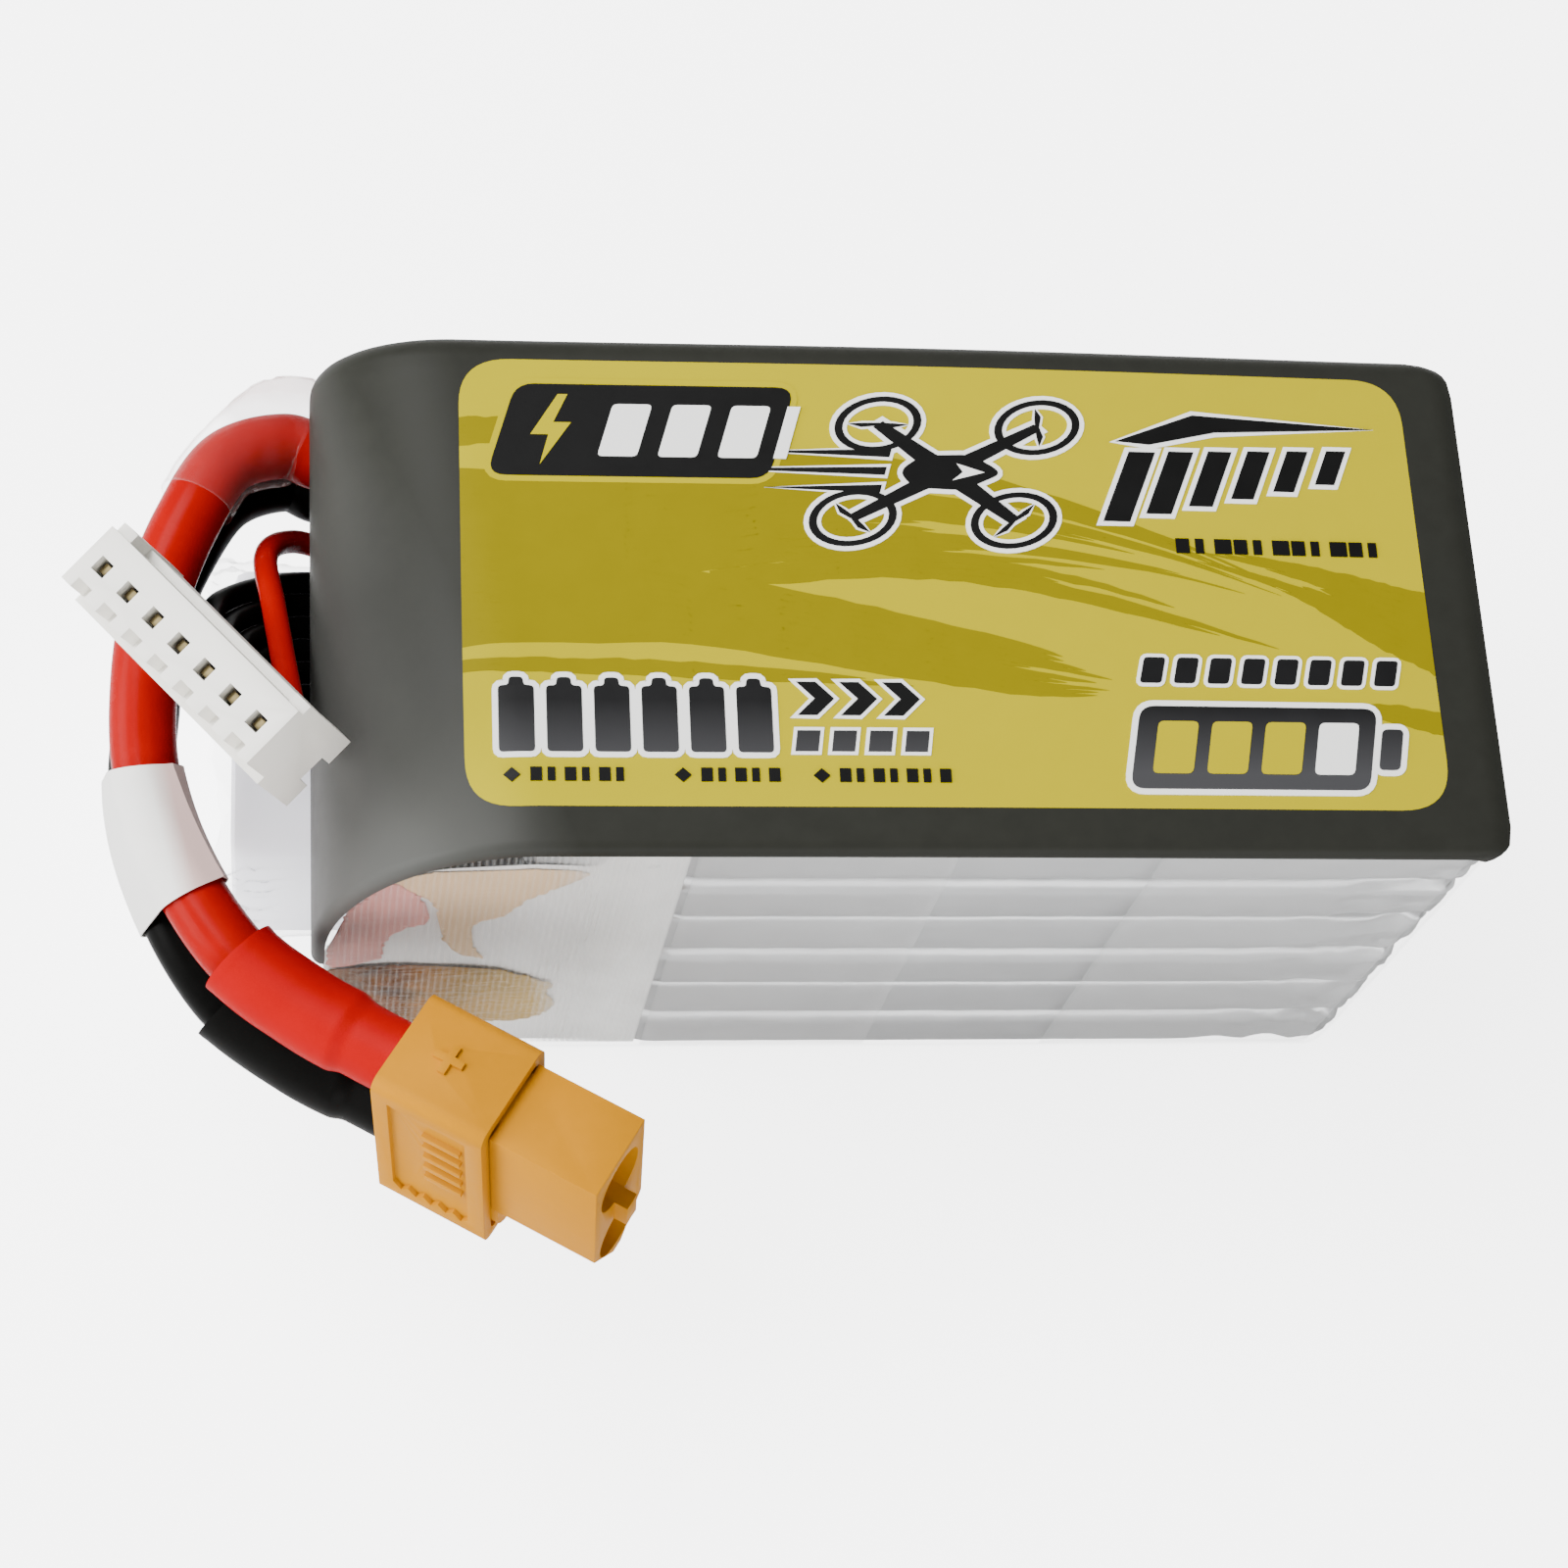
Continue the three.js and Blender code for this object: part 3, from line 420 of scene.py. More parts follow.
# The crimps are near black: painted shade of the dark socket holes they sit in.
BRASS_PAINTED_SHADE = node_material("crimp_brass", (0.07, 0.055, 0.025), 0.3, metallic=0.9, tint=0.3)
AMBER = blended_along(
    node_material("amber_adhesive", (0.13, 0.04, 0.002), 0.3, tint=0.7, scale=260, bump=0.4,
                  bump_scale=600, specular=0.06),
    (1, 0, 0), -0.034, -0.0235, (0.45, 0.3, 0.09),
)
PAPER = node_material("pale_paper", (0.74, 0.52, 0.3), 0.7, tint=0.08, scale=160, bump=0.2)
PINK = node_material("pink_film", (0.7, 0.3, 0.26), 0.5, tint=0.2, scale=160, bump=0.2)
MILKY = node_material("milky_lap", (0.86, 0.85, 0.83), 0.45, tint=0.03, scale=200, bump=0.1)
FILM = film_material("clear_film", (0.9, 0.9, 0.9), 0.004, 0.09, 0.1)
CLOUDY = film_material("cloudy_film", (0.9, 0.9, 0.9), 0.035, 0.3, 0.14)
# The body rises and falls with the rib pitch: painted shading of the tape's ribs.
TAPE = film_material("filament_tape", (0.95, 0.95, 0.93), 0.008, 0.03, 0.3, ribs=(0.00047, 0.05),
                     milky=((1, 0, 0), -0.0245, 0.007, 0.62, 0.006))
ROSY = film_material("rosy_film", (0.86, 0.62, 0.6), 0.015, 0.4, 0.12, bump=0.6, bump_scale=420,
                     milky=((0, 1, 0), 0.0168, 0.0012, 0.2, 0.0015))


# ---- pack skin
def nose_at(y, inset):
    s = (np.asarray(y, float) + HALF_W) / (2 * HALF_W)
    mix = lambda key: NEAR[key] + s * (FAR[key] - NEAR[key])
    return mix("x"), mix("z"), mix("a") - inset, mix("b") - inset, s


def crown(x, y):
    """The top face's slight bulge, level with the flat at both of its ends."""
    x0, _, _, _, s = nose_at(y, 0.0)
    t = np.clip((np.asarray(x, float) - x0) / (X_END - x0), 0, 1)
    return CROWN * (4 * t * (1 - t)) ** 2 * (0.25 + 0.75 * s)


def end_x(y):
    """How far the label reaches at each y: its free corners are rounded in plan."""
    y = np.asarray(y, float)
    corner = np.where(y > 0, END_CORNER_FAR, END_CORNER_NEAR)
    over = np.clip(np.abs(y) - (HALF_W - corner), 0, corner)
    return X_END - (corner - np.sqrt(corner**2 - over**2))


def top_point(station, y, inset, rounded_end=False):
    """A point of the skin's top at a station, and its normal."""
    kind, v = station
    x0, z0, a, b, s = nose_at(y, inset)
    y = np.asarray(y, float)
    if kind == "flat":
        last = end_x(y) if rounded_end else X_END - inset
        x = last + v * (x0 - last)
        z = HEIGHT - inset + crown(x, y)
        if rounded_end:
            z = z - END_DIP * np.clip(1 - (last - x) / 1.6, 0, 1) ** 2
        return np.stack([x, y, z], -1), np.stack([0 * x, 0 * x, 0 * x + 1], -1)
    if kind == "nose":
        angle = v * np.pi / 2
        x, z = x0 - a * np.sin(angle), z0 + b * np.cos(angle)
        nx, nz = -np.sin(angle) / a, np.cos(angle) / b
        size = np.hypot(nx, nz)
        return np.stack([x, y, z], -1), np.stack([nx / size, 0 * x, nz / size], -1)
    end = LABEL_END[0] + s * (LABEL_END[1] - LABEL_END[0])
    return np.stack([x0 - a, y, z0 + v * (end - z0)], -1), np.stack([0 * y - 1, 0 * y, 0 * y], -1)


def skin_row(station, inset, base_x, near_wall=0, tops=12, rounded_end=False):
    """One closed ring (near_wall set) or the open wrap of the label, across the pack."""
    yn, yf = -HALF_W + inset, HALF_W - inset
    rn, rf, rb = max(R_NEAR - inset, 0.25), R_FAR - inset, R_BASE - inset
    rows = []
    pn, nn = top_point(station, yn + rn, inset, rounded_end)
    cn = pn - nn * rn
    arc = [cn + rn * (nn * math.cos(a) - np.array([0, math.sin(a), 0])) for a in np.linspace(math.pi / 2, 0, 5)]
    xb = max(pn[0], base_x)
    base_n = np.array([xb, yn, inset + rb])
    if near_wall:
        rows += [base_n + (arc[0] - base_n) * t for t in np.linspace(0, 1, near_wall)[:-1]]
    rows += arc
    ys = np.linspace(yn + rn, yf - rf, tops)[1:-1]
    rows += list(top_point(station, ys, inset, rounded_end)[0])
    pf, nf = top_point(station, yf - rf, inset, rounded_end)
    cf = pf - nf * rf
    arc = [cf + rf * (nf * math.cos(a) + np.array([0, math.sin(a), 0])) for a in np.linspace(0, math.pi / 2, 7)]
    rows += arc
    xf = max(pf[0], base_x)
    base_f = np.array([xf, yf, inset + rb])
    rows += [arc[-1] + (base_f - arc[-1]) * t for t in np.linspace(0, 1, 7)[1:-1]]
    rows += [np.array([xf, yf - rb + rb * math.cos(a), inset + rb - rb * math.sin(a)])
             for a in np.linspace(0, math.pi / 2, 6)]
    xs = lambda y: xf + (xb - xf) * (yf - y) / (yf - yn)
    rows += [np.array([xs(y), y, inset]) for y in np.linspace(yf - rb, yn + rb, 9)[1:]]
    if near_wall:
        rows += [np.array([xb, yn + rb - rb * math.sin(a), inset + rb - rb * math.cos(a)])
                 for a in np.linspace(0, math.pi / 2, 6)[1:-1]]
    rows = np.array(rows)
    if rounded_end and station[0] == "flat":
        last = end_x(rows[:, 1])
        rows[:, 0] = last + station[1] * (nose_at(rows[:, 1], 0.0)[0] - last)
    return rows


def stations(flats, noses, ends=0):
    out = [("flat", v) for v in flats]
    out += [("nose", v) for v in np.linspace(0, 1, noses + 1)[1:]]
    return out + [("end", v) for v in np.linspace(0, 1, ends + 1)[1:]]


def build_label():
    flats = np.concatenate([np.linspace(0, 0.03, 6)[:-1], np.linspace(0.03, 1, 24)])
    rows = [skin_row(s, 0.0, LABEL_BASE_X, tops=28, rounded_end=True) for s in stations(flats, 28, 3)]
    sheet_piece("label_print", np.array(rows), LABEL_THICK, LABEL_BLACK_PAINTED_SHEEN, "pack", "label_wrap",
                flip=True, sharp=50)


def build_film():
    inset = FILM_INSET
    walls = 26
    rows = [skin_row(s, inset, FILM_BASE_X, near_wall=walls) for s in stations(np.linspace(0.03, 1, 40), 22)]
    points = np.array(rows)
    points[:, : walls - 1, 1] -= 0.08 * rough(points[:, : walls - 1], 0.35, 3.0)
    first = points[0]
    middle = np.array([0, 0, HEIGHT / 2])
    caps = []
    reach = X_END - inset - first[:, 0].mean()
    for a in np.linspace(0, math.pi / 2, 7)[1:]:
        shrink = 1 - (1 - math.cos(a)) * reach / 19
        ring = middle + (first - middle) * [1, shrink, shrink]
        ring[:, 0] = first[:, 0] + reach * math.sin(a)
        caps.append(ring)
    flat = caps[-1]
    for k in range(1, 8):
        ring = middle + (flat - middle) * [1, 1 - k / 8.2, 1 - k / 8.2]
        ring[:, 0] = flat[:, 0] - 0.45 * np.abs(rough(ring, 0.45, 7.0))
        caps.append(ring)
    points = np.concatenate([np.array(caps[::-1]), points])
    sheet_piece("shrink_film", points, FILM_THICK, FILM, "pack", "clear_sleeve", wrap=True, flip=True)


def build_tape():
    inset = TAPE_INSET
    walls = 30
    step = 0.12
    start = (X_END - inset - TAPE_EDGE_X) / (X_END - inset - NEAR["x"])
    flats = np.linspace(start, 1, int(9.8 / step))
    reach = NEAR["a"] - inset
    even = np.arcsin(np.arange(step, reach, step) / reach) / (np.pi / 2)
    noses = np.unique(np.concatenate([even, np.linspace(even[-1], 1, 10)]))
    rows = [skin_row(s, inset, TAPE_BASE_X, near_wall=walls)
            for s in [("flat", v) for v in flats] + [("nose", v) for v in noses]]
    points = np.array(rows)
    near = points[:, : walls - 1]
    ribs = 0.03 * np.cos(2 * np.pi * near[..., 0] / RIB_PITCH)
    points[:, : walls - 1, 1] -= ribs + 0.05 * rough(near, 0.3, 5.0)
    sheet_piece("ribbed_tape", points, TAPE_THICK, TAPE, "pack", "filament_tape", wrap=True, flip=True)


def under_lap():
    """The tape's milky first turn on the near side, behind the adhesive and the paper."""
    outline = [
        (-39.4, 3.0), (-39.4, 22.0), (-37.6, 30.0), (-34.8, 36.4), (-32.0, 38.4), (-26.0, 39.4), (-21.4, 39.0),
        (-19.8, 43.8), (-15.9, 43.8), (-15.7, 2.0), (-38.0, 2.0),
    ]

    def place(x, z, lift):
        wave = 0.03 * noise.noise(Vector((x * 0.35, 21.0, z * 0.35)))
        return Vector((x, -17.92 - lift - wave, z))
    cuts = grid_cuts(-40, -15, 2, 44, 1.5)
    verts, faces = island([ccw(soften(outline, 1.0, 4))], cuts, place, SHEET_THICK, SHEET_THICK)
    fix_normals(add_piece("tape_first_turn", verts, faces, MILKY, "pack"))


def film_bands():
    """The two laps of clear tape on the near side, a little cloudier than the film."""
    for name, x0, x1 in (("film_lap_1", -15.3, 2.0), ("film_lap_2", 15.9, 37.2)):
        xs = np.linspace(x0, x1, 26)
        zs = np.linspace(3.2, 43.9, 40)
        grid = np.array([[(x, -18.93, z) for z in zs] for x in xs])
        grid[..., 1] -= 0.04 * rough(grid, 0.4, 9.0)
        sheet_piece(name, grid, 0.05, CLOUDY, "pack")


# ---- cells
def build_cells():
    for i in range(6):
        z0 = CELL_BASE + i * CELL_PITCH - (0.5 if i == 0 else 0)
        z1 = CELL_BASE + i * CELL_PITCH + CELL_PITCH - CELL_GAP
        low_r = SEAM_ROUND if i in (2, 4) else FOLD_ROUND
        high_r = FOLD_ROUND if i % 2 == 0 else SEAM_ROUND
        ring = []
        for cy, cz, r, a0 in (
            (CELL_NEAR, z1, high_r, 180), (CELL_FAR, z1, high_r, 90),
            (CELL_FAR, z0, low_r, 0), (CELL_NEAR, z0, low_r, -90),
        ):
            sy = 1 if cy > 0 else -1
            sz = 1 if cz == z1 else -1
            for a in np.linspace(0, -90, 9):
                t = math.radians(a0 + a)
                ring.append((cy - sy * r + r * math.cos(t), cz - sz * r + r * math.sin(t)))
        ring = densified(np.array(ring), 0.8)
        middle = np.array([0, (z0 + z1) / 2])
        front, back = [
            [(x + r * (1 - math.sin(a)), abs(r) * (1 - math.cos(a))) for a in angles]
            for x, r, angles in ((CELL_X0, 1.2, np.linspace(math.pi / 2, 0, 6)),
                                 (CELL_X1, -1.5, np.linspace(0, math.pi / 2, 8)))
        ]
        body = [(x, 0.0) for x in np.linspace(-25.4, 37.85, 84)[1:-1]]
        points = np.array([
            np.column_stack([np.full(len(ring), x),
                             middle + (ring - middle) * [1 - inset / 18.0, 1 - inset * 0.75 / 3.4]])
            for x, inset in front + body + back
        ])
        seam = z0 if i % 2 == 0 else z1
        side = np.sign(points[..., 1]) * smoothstep((np.abs(points[..., 1]) - 12) / 5)
        sunk = 0.36 * np.exp(-np.abs(points[..., 2] - seam) / 1.3)
        # Clear of the tape the pouches reach out to the film.
        bare = smoothstep((points[..., 0] + 17.5) / 3) * (points[..., 1] < 0)
        points[..., 1] += side * 0.6 * bare
        wrinkle = smoothstep((points[..., 0] - 26) / 11) * 0.9 + 0.05
        lumps = np.abs(rough(points * [0.5, 1, 1], 0.5, i * 3.1))
        points[..., 1] -= side * (sunk + wrinkle * lumps)
        faces = tube_faces(*points.shape[:2])
        obj = add_piece(f"pouch_{i + 1}", points.reshape(-1, 3), faces, FOIL, "pack", sharp=60)
        fix_normals(obj)
        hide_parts(f"cell_{i + 1}")


PINK_OUTLINE = [
    (-39.2, 21.6), (-38.2, 29.6), (-37.2, 32.3), (-35.3, 36.6), (-33.0, 33.6), (-32.1, 28.2), (-34.0, 27.3),
    (-35.3, 24.5), (-35.3, 20.6), (-39.1, 18.6),
]
PAPER_OUTLINE = [
    (-35.3, 35.8), (-33.1, 38.0), (-26.0, 38.7), (-21.5, 38.1), (-24.9, 34.1), (-26.4, 31.9), (-27.1, 29.6),
    (-29.3, 28.2), (-29.2, 23.5), (-27.8, 20.6), (-29.9, 21.6), (-31.3, 24.9), (-31.9, 31.4), (-33.0, 33.6),
]
AMBER_OUTLINE = [
    (-39.3, 19.0), (-33.7, 19.8), (-27.2, 19.1), (-25.5, 17.6), (-22.5, 15.6), (-23.4, 13.5), (-22.2, 11.4),
    (-23.2, 8.2), (-26.1, 6.6), (-28.4, 8.0), (-31.0, 6.2), (-35.0, 7.4), (-39.0, 9.0),
]


def build_side_sheets():
    """Amber adhesive, pale paper and pink film under the tape on the near side."""
    for name, outline, mat, y, amp, seed, node in (
        ("paper_lining", PAPER_OUTLINE, PAPER, -18.02, 0.02, 6.0, "paper_sheet"),
        ("pink_lining", PINK_OUTLINE, PINK, -18.06, 0.02, 11.0, None),
        ("amber_crinkle", AMBER_OUTLINE, AMBER, -18.08, 0.13, 1.0, "adhesive_sheet"),
    ):
        def place(x, z, lift):
            p = Vector((x * 0.35, seed, z * 1.3))
            ridge = 1 - 2 * abs(noise.noise(p)) + 0.5 * noise.noise(p * 2.7)
            return Vector((x, y - amp * max(ridge, 0) - lift, z))
        rng = random.Random(int(seed))
        loop = [(px + rng.uniform(-0.15, 0.15), pz + rng.uniform(-0.15, 0.15))
                for px, pz in soften(outline, 1.2, 6)]
        step = 0.45
        cuts = grid_cuts(-40, -20, 5, 40, step)
        verts, faces = island([ccw(loop)], cuts, place, SHEET_THICK, SHEET_THICK)
        obj = fix_normals(add_piece(name, verts, faces, mat, "pack"))
        if node:
            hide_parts(node)


# ---- power lead
RED_PATH = [
    [-31.2, 15.0, 31.8], [-36, 15.1, 32.4], [-39.8, 15.2, 33.0], [-42.4, 15.9, 33.5],
    [-46.4, 13.8, 34.8], [-49, 9, 35.2], [-50.9, 4, 34.2], [-51.8, -1.5, 32.3],
    [-51.6, -7.8, 30.3], [-49.4, -14.2, 29.1], [-45.6, -20.2, 28.5], [-41.0, -24.0, 28.2],
    [-37.2, -26.4, 28.5], [-33.2, -28.9, 29.2],
]
BLACK_OFFSETS = [[0, 0, -5.2]] * 4 + [
    [-0.2, -0.2, -5.2], [-0.5, -0.4, -5.2], [-0.4, -0.3, -5.2], [0, 0, -5.2],
    [-0.5, -0.5, -5.2], [-0.8, -0.8, -5.2], [-0.7, -1.2, -6.2], [0, -1.3, -6.8],
    [0.3, -1.25, -7.05], [0.43, -1.2, -7.1],
]
BLACK_PATH = (np.array(RED_PATH) + np.array(BLACK_OFFSETS)).tolist()
MID_LEAD = 5.2
ROOT_BEND = ((-40.7, 15.4, 31), (-45.4, 14.3, 31))
LOOP_BEND = ((-51.2, 2.2, 30), (-51.9, -5.2, 30))


def wire(name, path, radii, sides, frames, mat, nodes):
    """A round wire in place of CAD nodes."""
    obj = add_piece(name, *tube(path, radii, sides, frames), mat, sharp=60)
    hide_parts(*nodes)
    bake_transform(obj)


def power_wires():
    for name, path, mat in (("red", RED_PATH, RED_SILICONE), ("black", BLACK_PATH, BLACK_SILICONE)):
        for part, span, count, nodes, bodies, bend in (
            ("inner", (0.25, MID_LEAD + 0.02), 70, ("root", "loop"), ("pack", "power_lead"), ROOT_BEND),
            ("outer", (MID_LEAD - 0.02, len(path) - 1.35), 100, ("end",),
             ("power_lead", "power_plug"), LOOP_BEND),
        ):
            fine = catmull(path, np.linspace(*span, count))
            wire(f"{name}_lead_{part}", fine, WIRE_R + 0.03 * rough(fine, 0.25), 32, upright_frames(fine),
                 mat, [f"{name}_wire_{node}" for node in nodes])


def lead_film():
    """Clear film drawn over the red wire's root and pulled out to the pack's far corner."""
    t = np.linspace(4.72, 2.55, 44)
    path = catmull(RED_PATH, t)
    flare = smoothstep((4.35 - t) / 1.5)[:, None]
    pull = np.array([0.1, 0.72, 0.69])
    ring = rings(upright_frames(path), 48)
    toward = np.clip(ring @ pull, 0, 1)
    radius = 2.5 + 0.08 * (1 - flare) + flare * (0.12 + 3.0 * toward**3)
    points = path[:, None] + ring * radius[..., None]
    wave = rough(points, 0.5, 2.0)
    points += ring * (np.abs(wave) * (0.1 + 0.35 * flare))[..., None]
    points[..., 1] = np.minimum(points[..., 1], HALF_W - 0.1 - 0.2 * (points[..., 0] > -39))
    obj = sheet_piece("root_film", points, 0.07, ROSY, node="lead_collar", wrap=True)
    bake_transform(obj)


def paper_band():
    t = np.linspace(7.85, 9.25, 26)
    red, black = catmull(RED_PATH, t), catmull(BLACK_PATH, t)
    middle = (red + black) / 2
    ups = red - black
    half = np.linalg.norm(ups, axis=1) / 2 - 0.05
    _, across, up = upright_frames(middle, unit(ups))
    ring = np.array([(math.cos(a), math.sin(a), side) for start, side in ((0, 1), (math.pi, -1))
                     for a in np.linspace(start, start + math.pi, 17)])
    crease = 0.14 * np.exp(-((np.arange(len(ring)) - 5.0) / 0.8) ** 2)
    ring[:, :2] *= 1 + crease[:, None]
    points = (
        middle[:, None]
        + across[:, None] * (ring[:, 0] * BAND_R)[None, :, None]
        + up[:, None] * (ring[:, 1][None] * BAND_R + ring[:, 2][None] * half[:, None])[..., None]
    )
    sheet_piece("paper_cuff", points, 0.12, PAPER_BAND_PAINTED_SHADE, "power_plug", "wire_band", wrap=True, sharp=40)


def heat_shrinks():
    for name, path, mat in (("red", RED_PATH, RED_SHRINK), ("black", BLACK_PATH, BLACK_SHRINK)):
        t = np.linspace(10.08, 12.82, 60)
        fine = catmull(path, t)
        step = smoothstep((t - 11.75) / 0.3)
        lip = 0.06 * np.exp(-((t - 10.1) / 0.05) ** 2)
        radius = SHRINK_R + (SHRINK_NECK_R - SHRINK_R) * step + lip
        ring = rings(upright_frames(fine), 36)
        points = fine[:, None] + ring * radius[:, None, None]
        points += ring * (0.05 * rough(points, 0.35, 4.0))[..., None]
        sheet_piece(f"{name}_shrink", points[::-1], 0.2, mat, "power_plug", f"{name}_heat_shrink",
                    wrap=True, sharp=40)


# ---- refined CAD nodes
SHARP_EDGE = 32


def refined(node, name, mat, bevel):
    """A piece with the CAD node's shape: its facets merged and its edges rounded."""
    source = frame["nodes"][node]
    bm = bmesh.new()
    bm.from_mesh(source.data)
    bm.transform(source.matrix_world)
    bmesh.ops.remove_doubles(bm, verts=bm.verts, dist=2e-6)
    bmesh.ops.dissolve_limit(bm, angle_limit=math.radians(1.0), verts=bm.verts, edges=bm.edges)
    edges = [e for e in bm.edges if len(e.link_faces) == 2 and e.calc_face_angle(0) > math.radians(SHARP_EDGE)]
    if bevel:
        bmesh.ops.bevel(bm, geom=edges, offset=bevel * MM, offset_type="OFFSET", segments=2,
                        profile=0.5, affect="EDGES", clamp_overlap=True)
    mesh = bpy.data.meshes.new(name)
    bm.to_mesh(mesh)
    bm.free()
    mesh.materials.append(mat)
    mesh.polygons.foreach_set("use_smooth", [True] * len(mesh.polygons))
    mesh.set_sharp_from_angle(angle=math.radians(SHARP_EDGE))
    obj = put(name, mesh)
    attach(obj, body_of_node(node))
    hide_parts(node)


def body_of_node(node):
    for body, nodes in frame["record"]["behaviour"]["bodies"].items():
        if node in nodes:
            return body
    raise KeyError(node)


def connectors():
    for node, name, mat, bevel in (
        ("plug_housing", "plug_front", PLUG_NYLON, 0.14), ("plug_cap", "plug_rear", PLUG_NYLON, 0.12),
        ("positive_contact", "positive_socket", GOLD, 0.05), ("negative_contact", "negative_socket", GOLD, 0.05),
        ("balance_housing", "balance_shell", IVORY, 0.09), ("terminal_cover", "end_block", BLOCK_PAINTED_GLOW, 0.0),
        ("terminal_board", "solder_board", BOARD, 0.1), ("negative_tab", "minus_tab", NICKEL, 0.05),
        ("positive_tab", "plus_tab", NICKEL, 0.05),
    ):
        refined(node, name, mat, bevel)
    for i in range(1, 8):
        refined(f"balance_terminal_{i}", f"balance_crimp_{i}", BRASS_PAINTED_SHADE, 0.04)
    for i in range(1, 6):
        refined(f"cell_pad_{i}", f"foam_pad_{i}", PAD_PAINTED_SHADE, 0.05)
        refined(f"series_link_{i}", f"tab_link_{i}", NICKEL, 0.05)


# ---- balance lead
ROW_M = Vector((-0.3, -0.133, 0.945)).normalized()
ROW_A = Vector((0.66, -0.744, 0.075))
ROW_A = (ROW_A - ROW_M * ROW_A.dot(ROW_M)).normalized()
ROW_CENTRE = Vector((-48.9, -7.5, 51))
FAN = [
    ((-33.2, 4.7, 24.5), (0, -1, 0), 1.78), ((-38, 4.9, 24.6), (0, -1, 0), 1.78),
    ((-42.0, 4.2, 26.0), (0.15, -0.99, 0), 1.78), ((-44.6, 1.3, 29.8), (0.5, -0.87, 0), 1.82),
    ((-44.6, -3.3, 35.3), (0.66, -0.74, 0.1), 1.9),
]
RED_THIN = [
    (-33.2, 11.6, 24.5), (-38, 11.7, 24.9), (-41.7, 11.4, 27.4), (-43.6, 8.2, 31.6),
    (-43.0, 2.2, 35.6), (-41.9, -5.2, 38.0),
]


def rear_point(index, back):
    """Behind one position of the balance connector, back mm from its rear face."""
    return tuple(ROW_CENTRE + ROW_A * ((index - 3) * SENSE_PITCH) - ROW_M * (SENSE_DEPTH + back))


def balance_wires():
    for i in range(7):
        if i == 6:
            low = rear_point(i, 1.3)
            path = RED_THIN + [(low[0] - 0.4, low[1] + 1.2, low[2]), rear_point(i, -0.4)]
        else:
            rank = i - 2.5
            path = [tuple(c[k] + rank * pitch * d[k] for k in range(3)) for c, d, pitch in FAN]
            path += [rear_point(i, 3.4), rear_point(i, 0.8)]
        path.append(rear_point(i, -2.0))
        fine = catmull(path, np.linspace(0, len(path) - 1, 80))
        wire(f"sense_wire_{i + 1}", fine, THIN_R, 18, carried_frames(fine),
             RED_SILICONE if i == 6 else BLACK_SILICONE, [f"balance_wire_{i + 1}"])


# ---- loose end of the film
def film_mouth():
    y0, y1, z0, z1 = -10.0, 12.5, 2.6, 21.6
    xs = np.linspace(-38.8, -47.4, 40)
    loop = []
    r = 2.0
    for cy, cz, a0 in ((y0 + r, z0 + r, 180), (y1 - r, z0 + r, 270), (y1 - r, z1 - r, 0), (y0 + r, z1 - r, 90)):
        for a in np.linspace(0, 90, 6):
            t = math.radians(a0 + a)
            loop.append((cy, cz, math.cos(t), math.sin(t)))
    loop = densified(np.array(loop), 0.5)
    ring = loop[:, :2] + loop[:, 2:] * (r + 0.45)
    points = np.array([np.column_stack([np.full(len(loop), x), ring]) for x in xs])
    out = np.column_stack([np.zeros(len(loop)), loop[:, 2:]])
    depth = smoothstep((-40.5 - points[..., 0]) / 5)
    fold = np.abs(rough(points * [0.7, 1, 1], 0.55, 8.0)) + 0.5 * np.abs(rough(points, 1.3, 2.0))
    points += out[None] * (fold * depth * 1.3)[..., None]
    edge = 1.6 * rough(points[-1][None], 0.35, 4.0)[0]
    points[..., 0] += smoothstep((-43 - points[..., 0]) / 4) * edge[None]
    sheet_piece("crumpled_mouth", points, 0.06, CLOUDY, "pack", "sleeve_mouth", wrap=True)


# ---- printed artwork
def label_point(a, y, lift):
    """The point of the label at length a along it and y across, lifted off the surface."""
    x0, z0, ax, bz, _ = nose_at(y, 0.0)
    if a >= x0:
        return Vector((a, y, HEIGHT + float(crown(a, y)) + lift))
    angles = np.linspace(0, np.pi / 2, 60)
    arc = np.concatenate([[0], np.cumsum(np.hypot(np.diff(ax * np.sin(angles)), np.diff(bz * np.cos(angles))))])
    angle = float(np.interp(x0 - a, arc, angles))
    n = Vector((-math.sin(angle) / ax, 0, math.cos(angle) / bz)).normalized()
    return Vector((x0 - ax * math.sin(angle), y, z0 + bz * math.cos(angle))) + n * lift


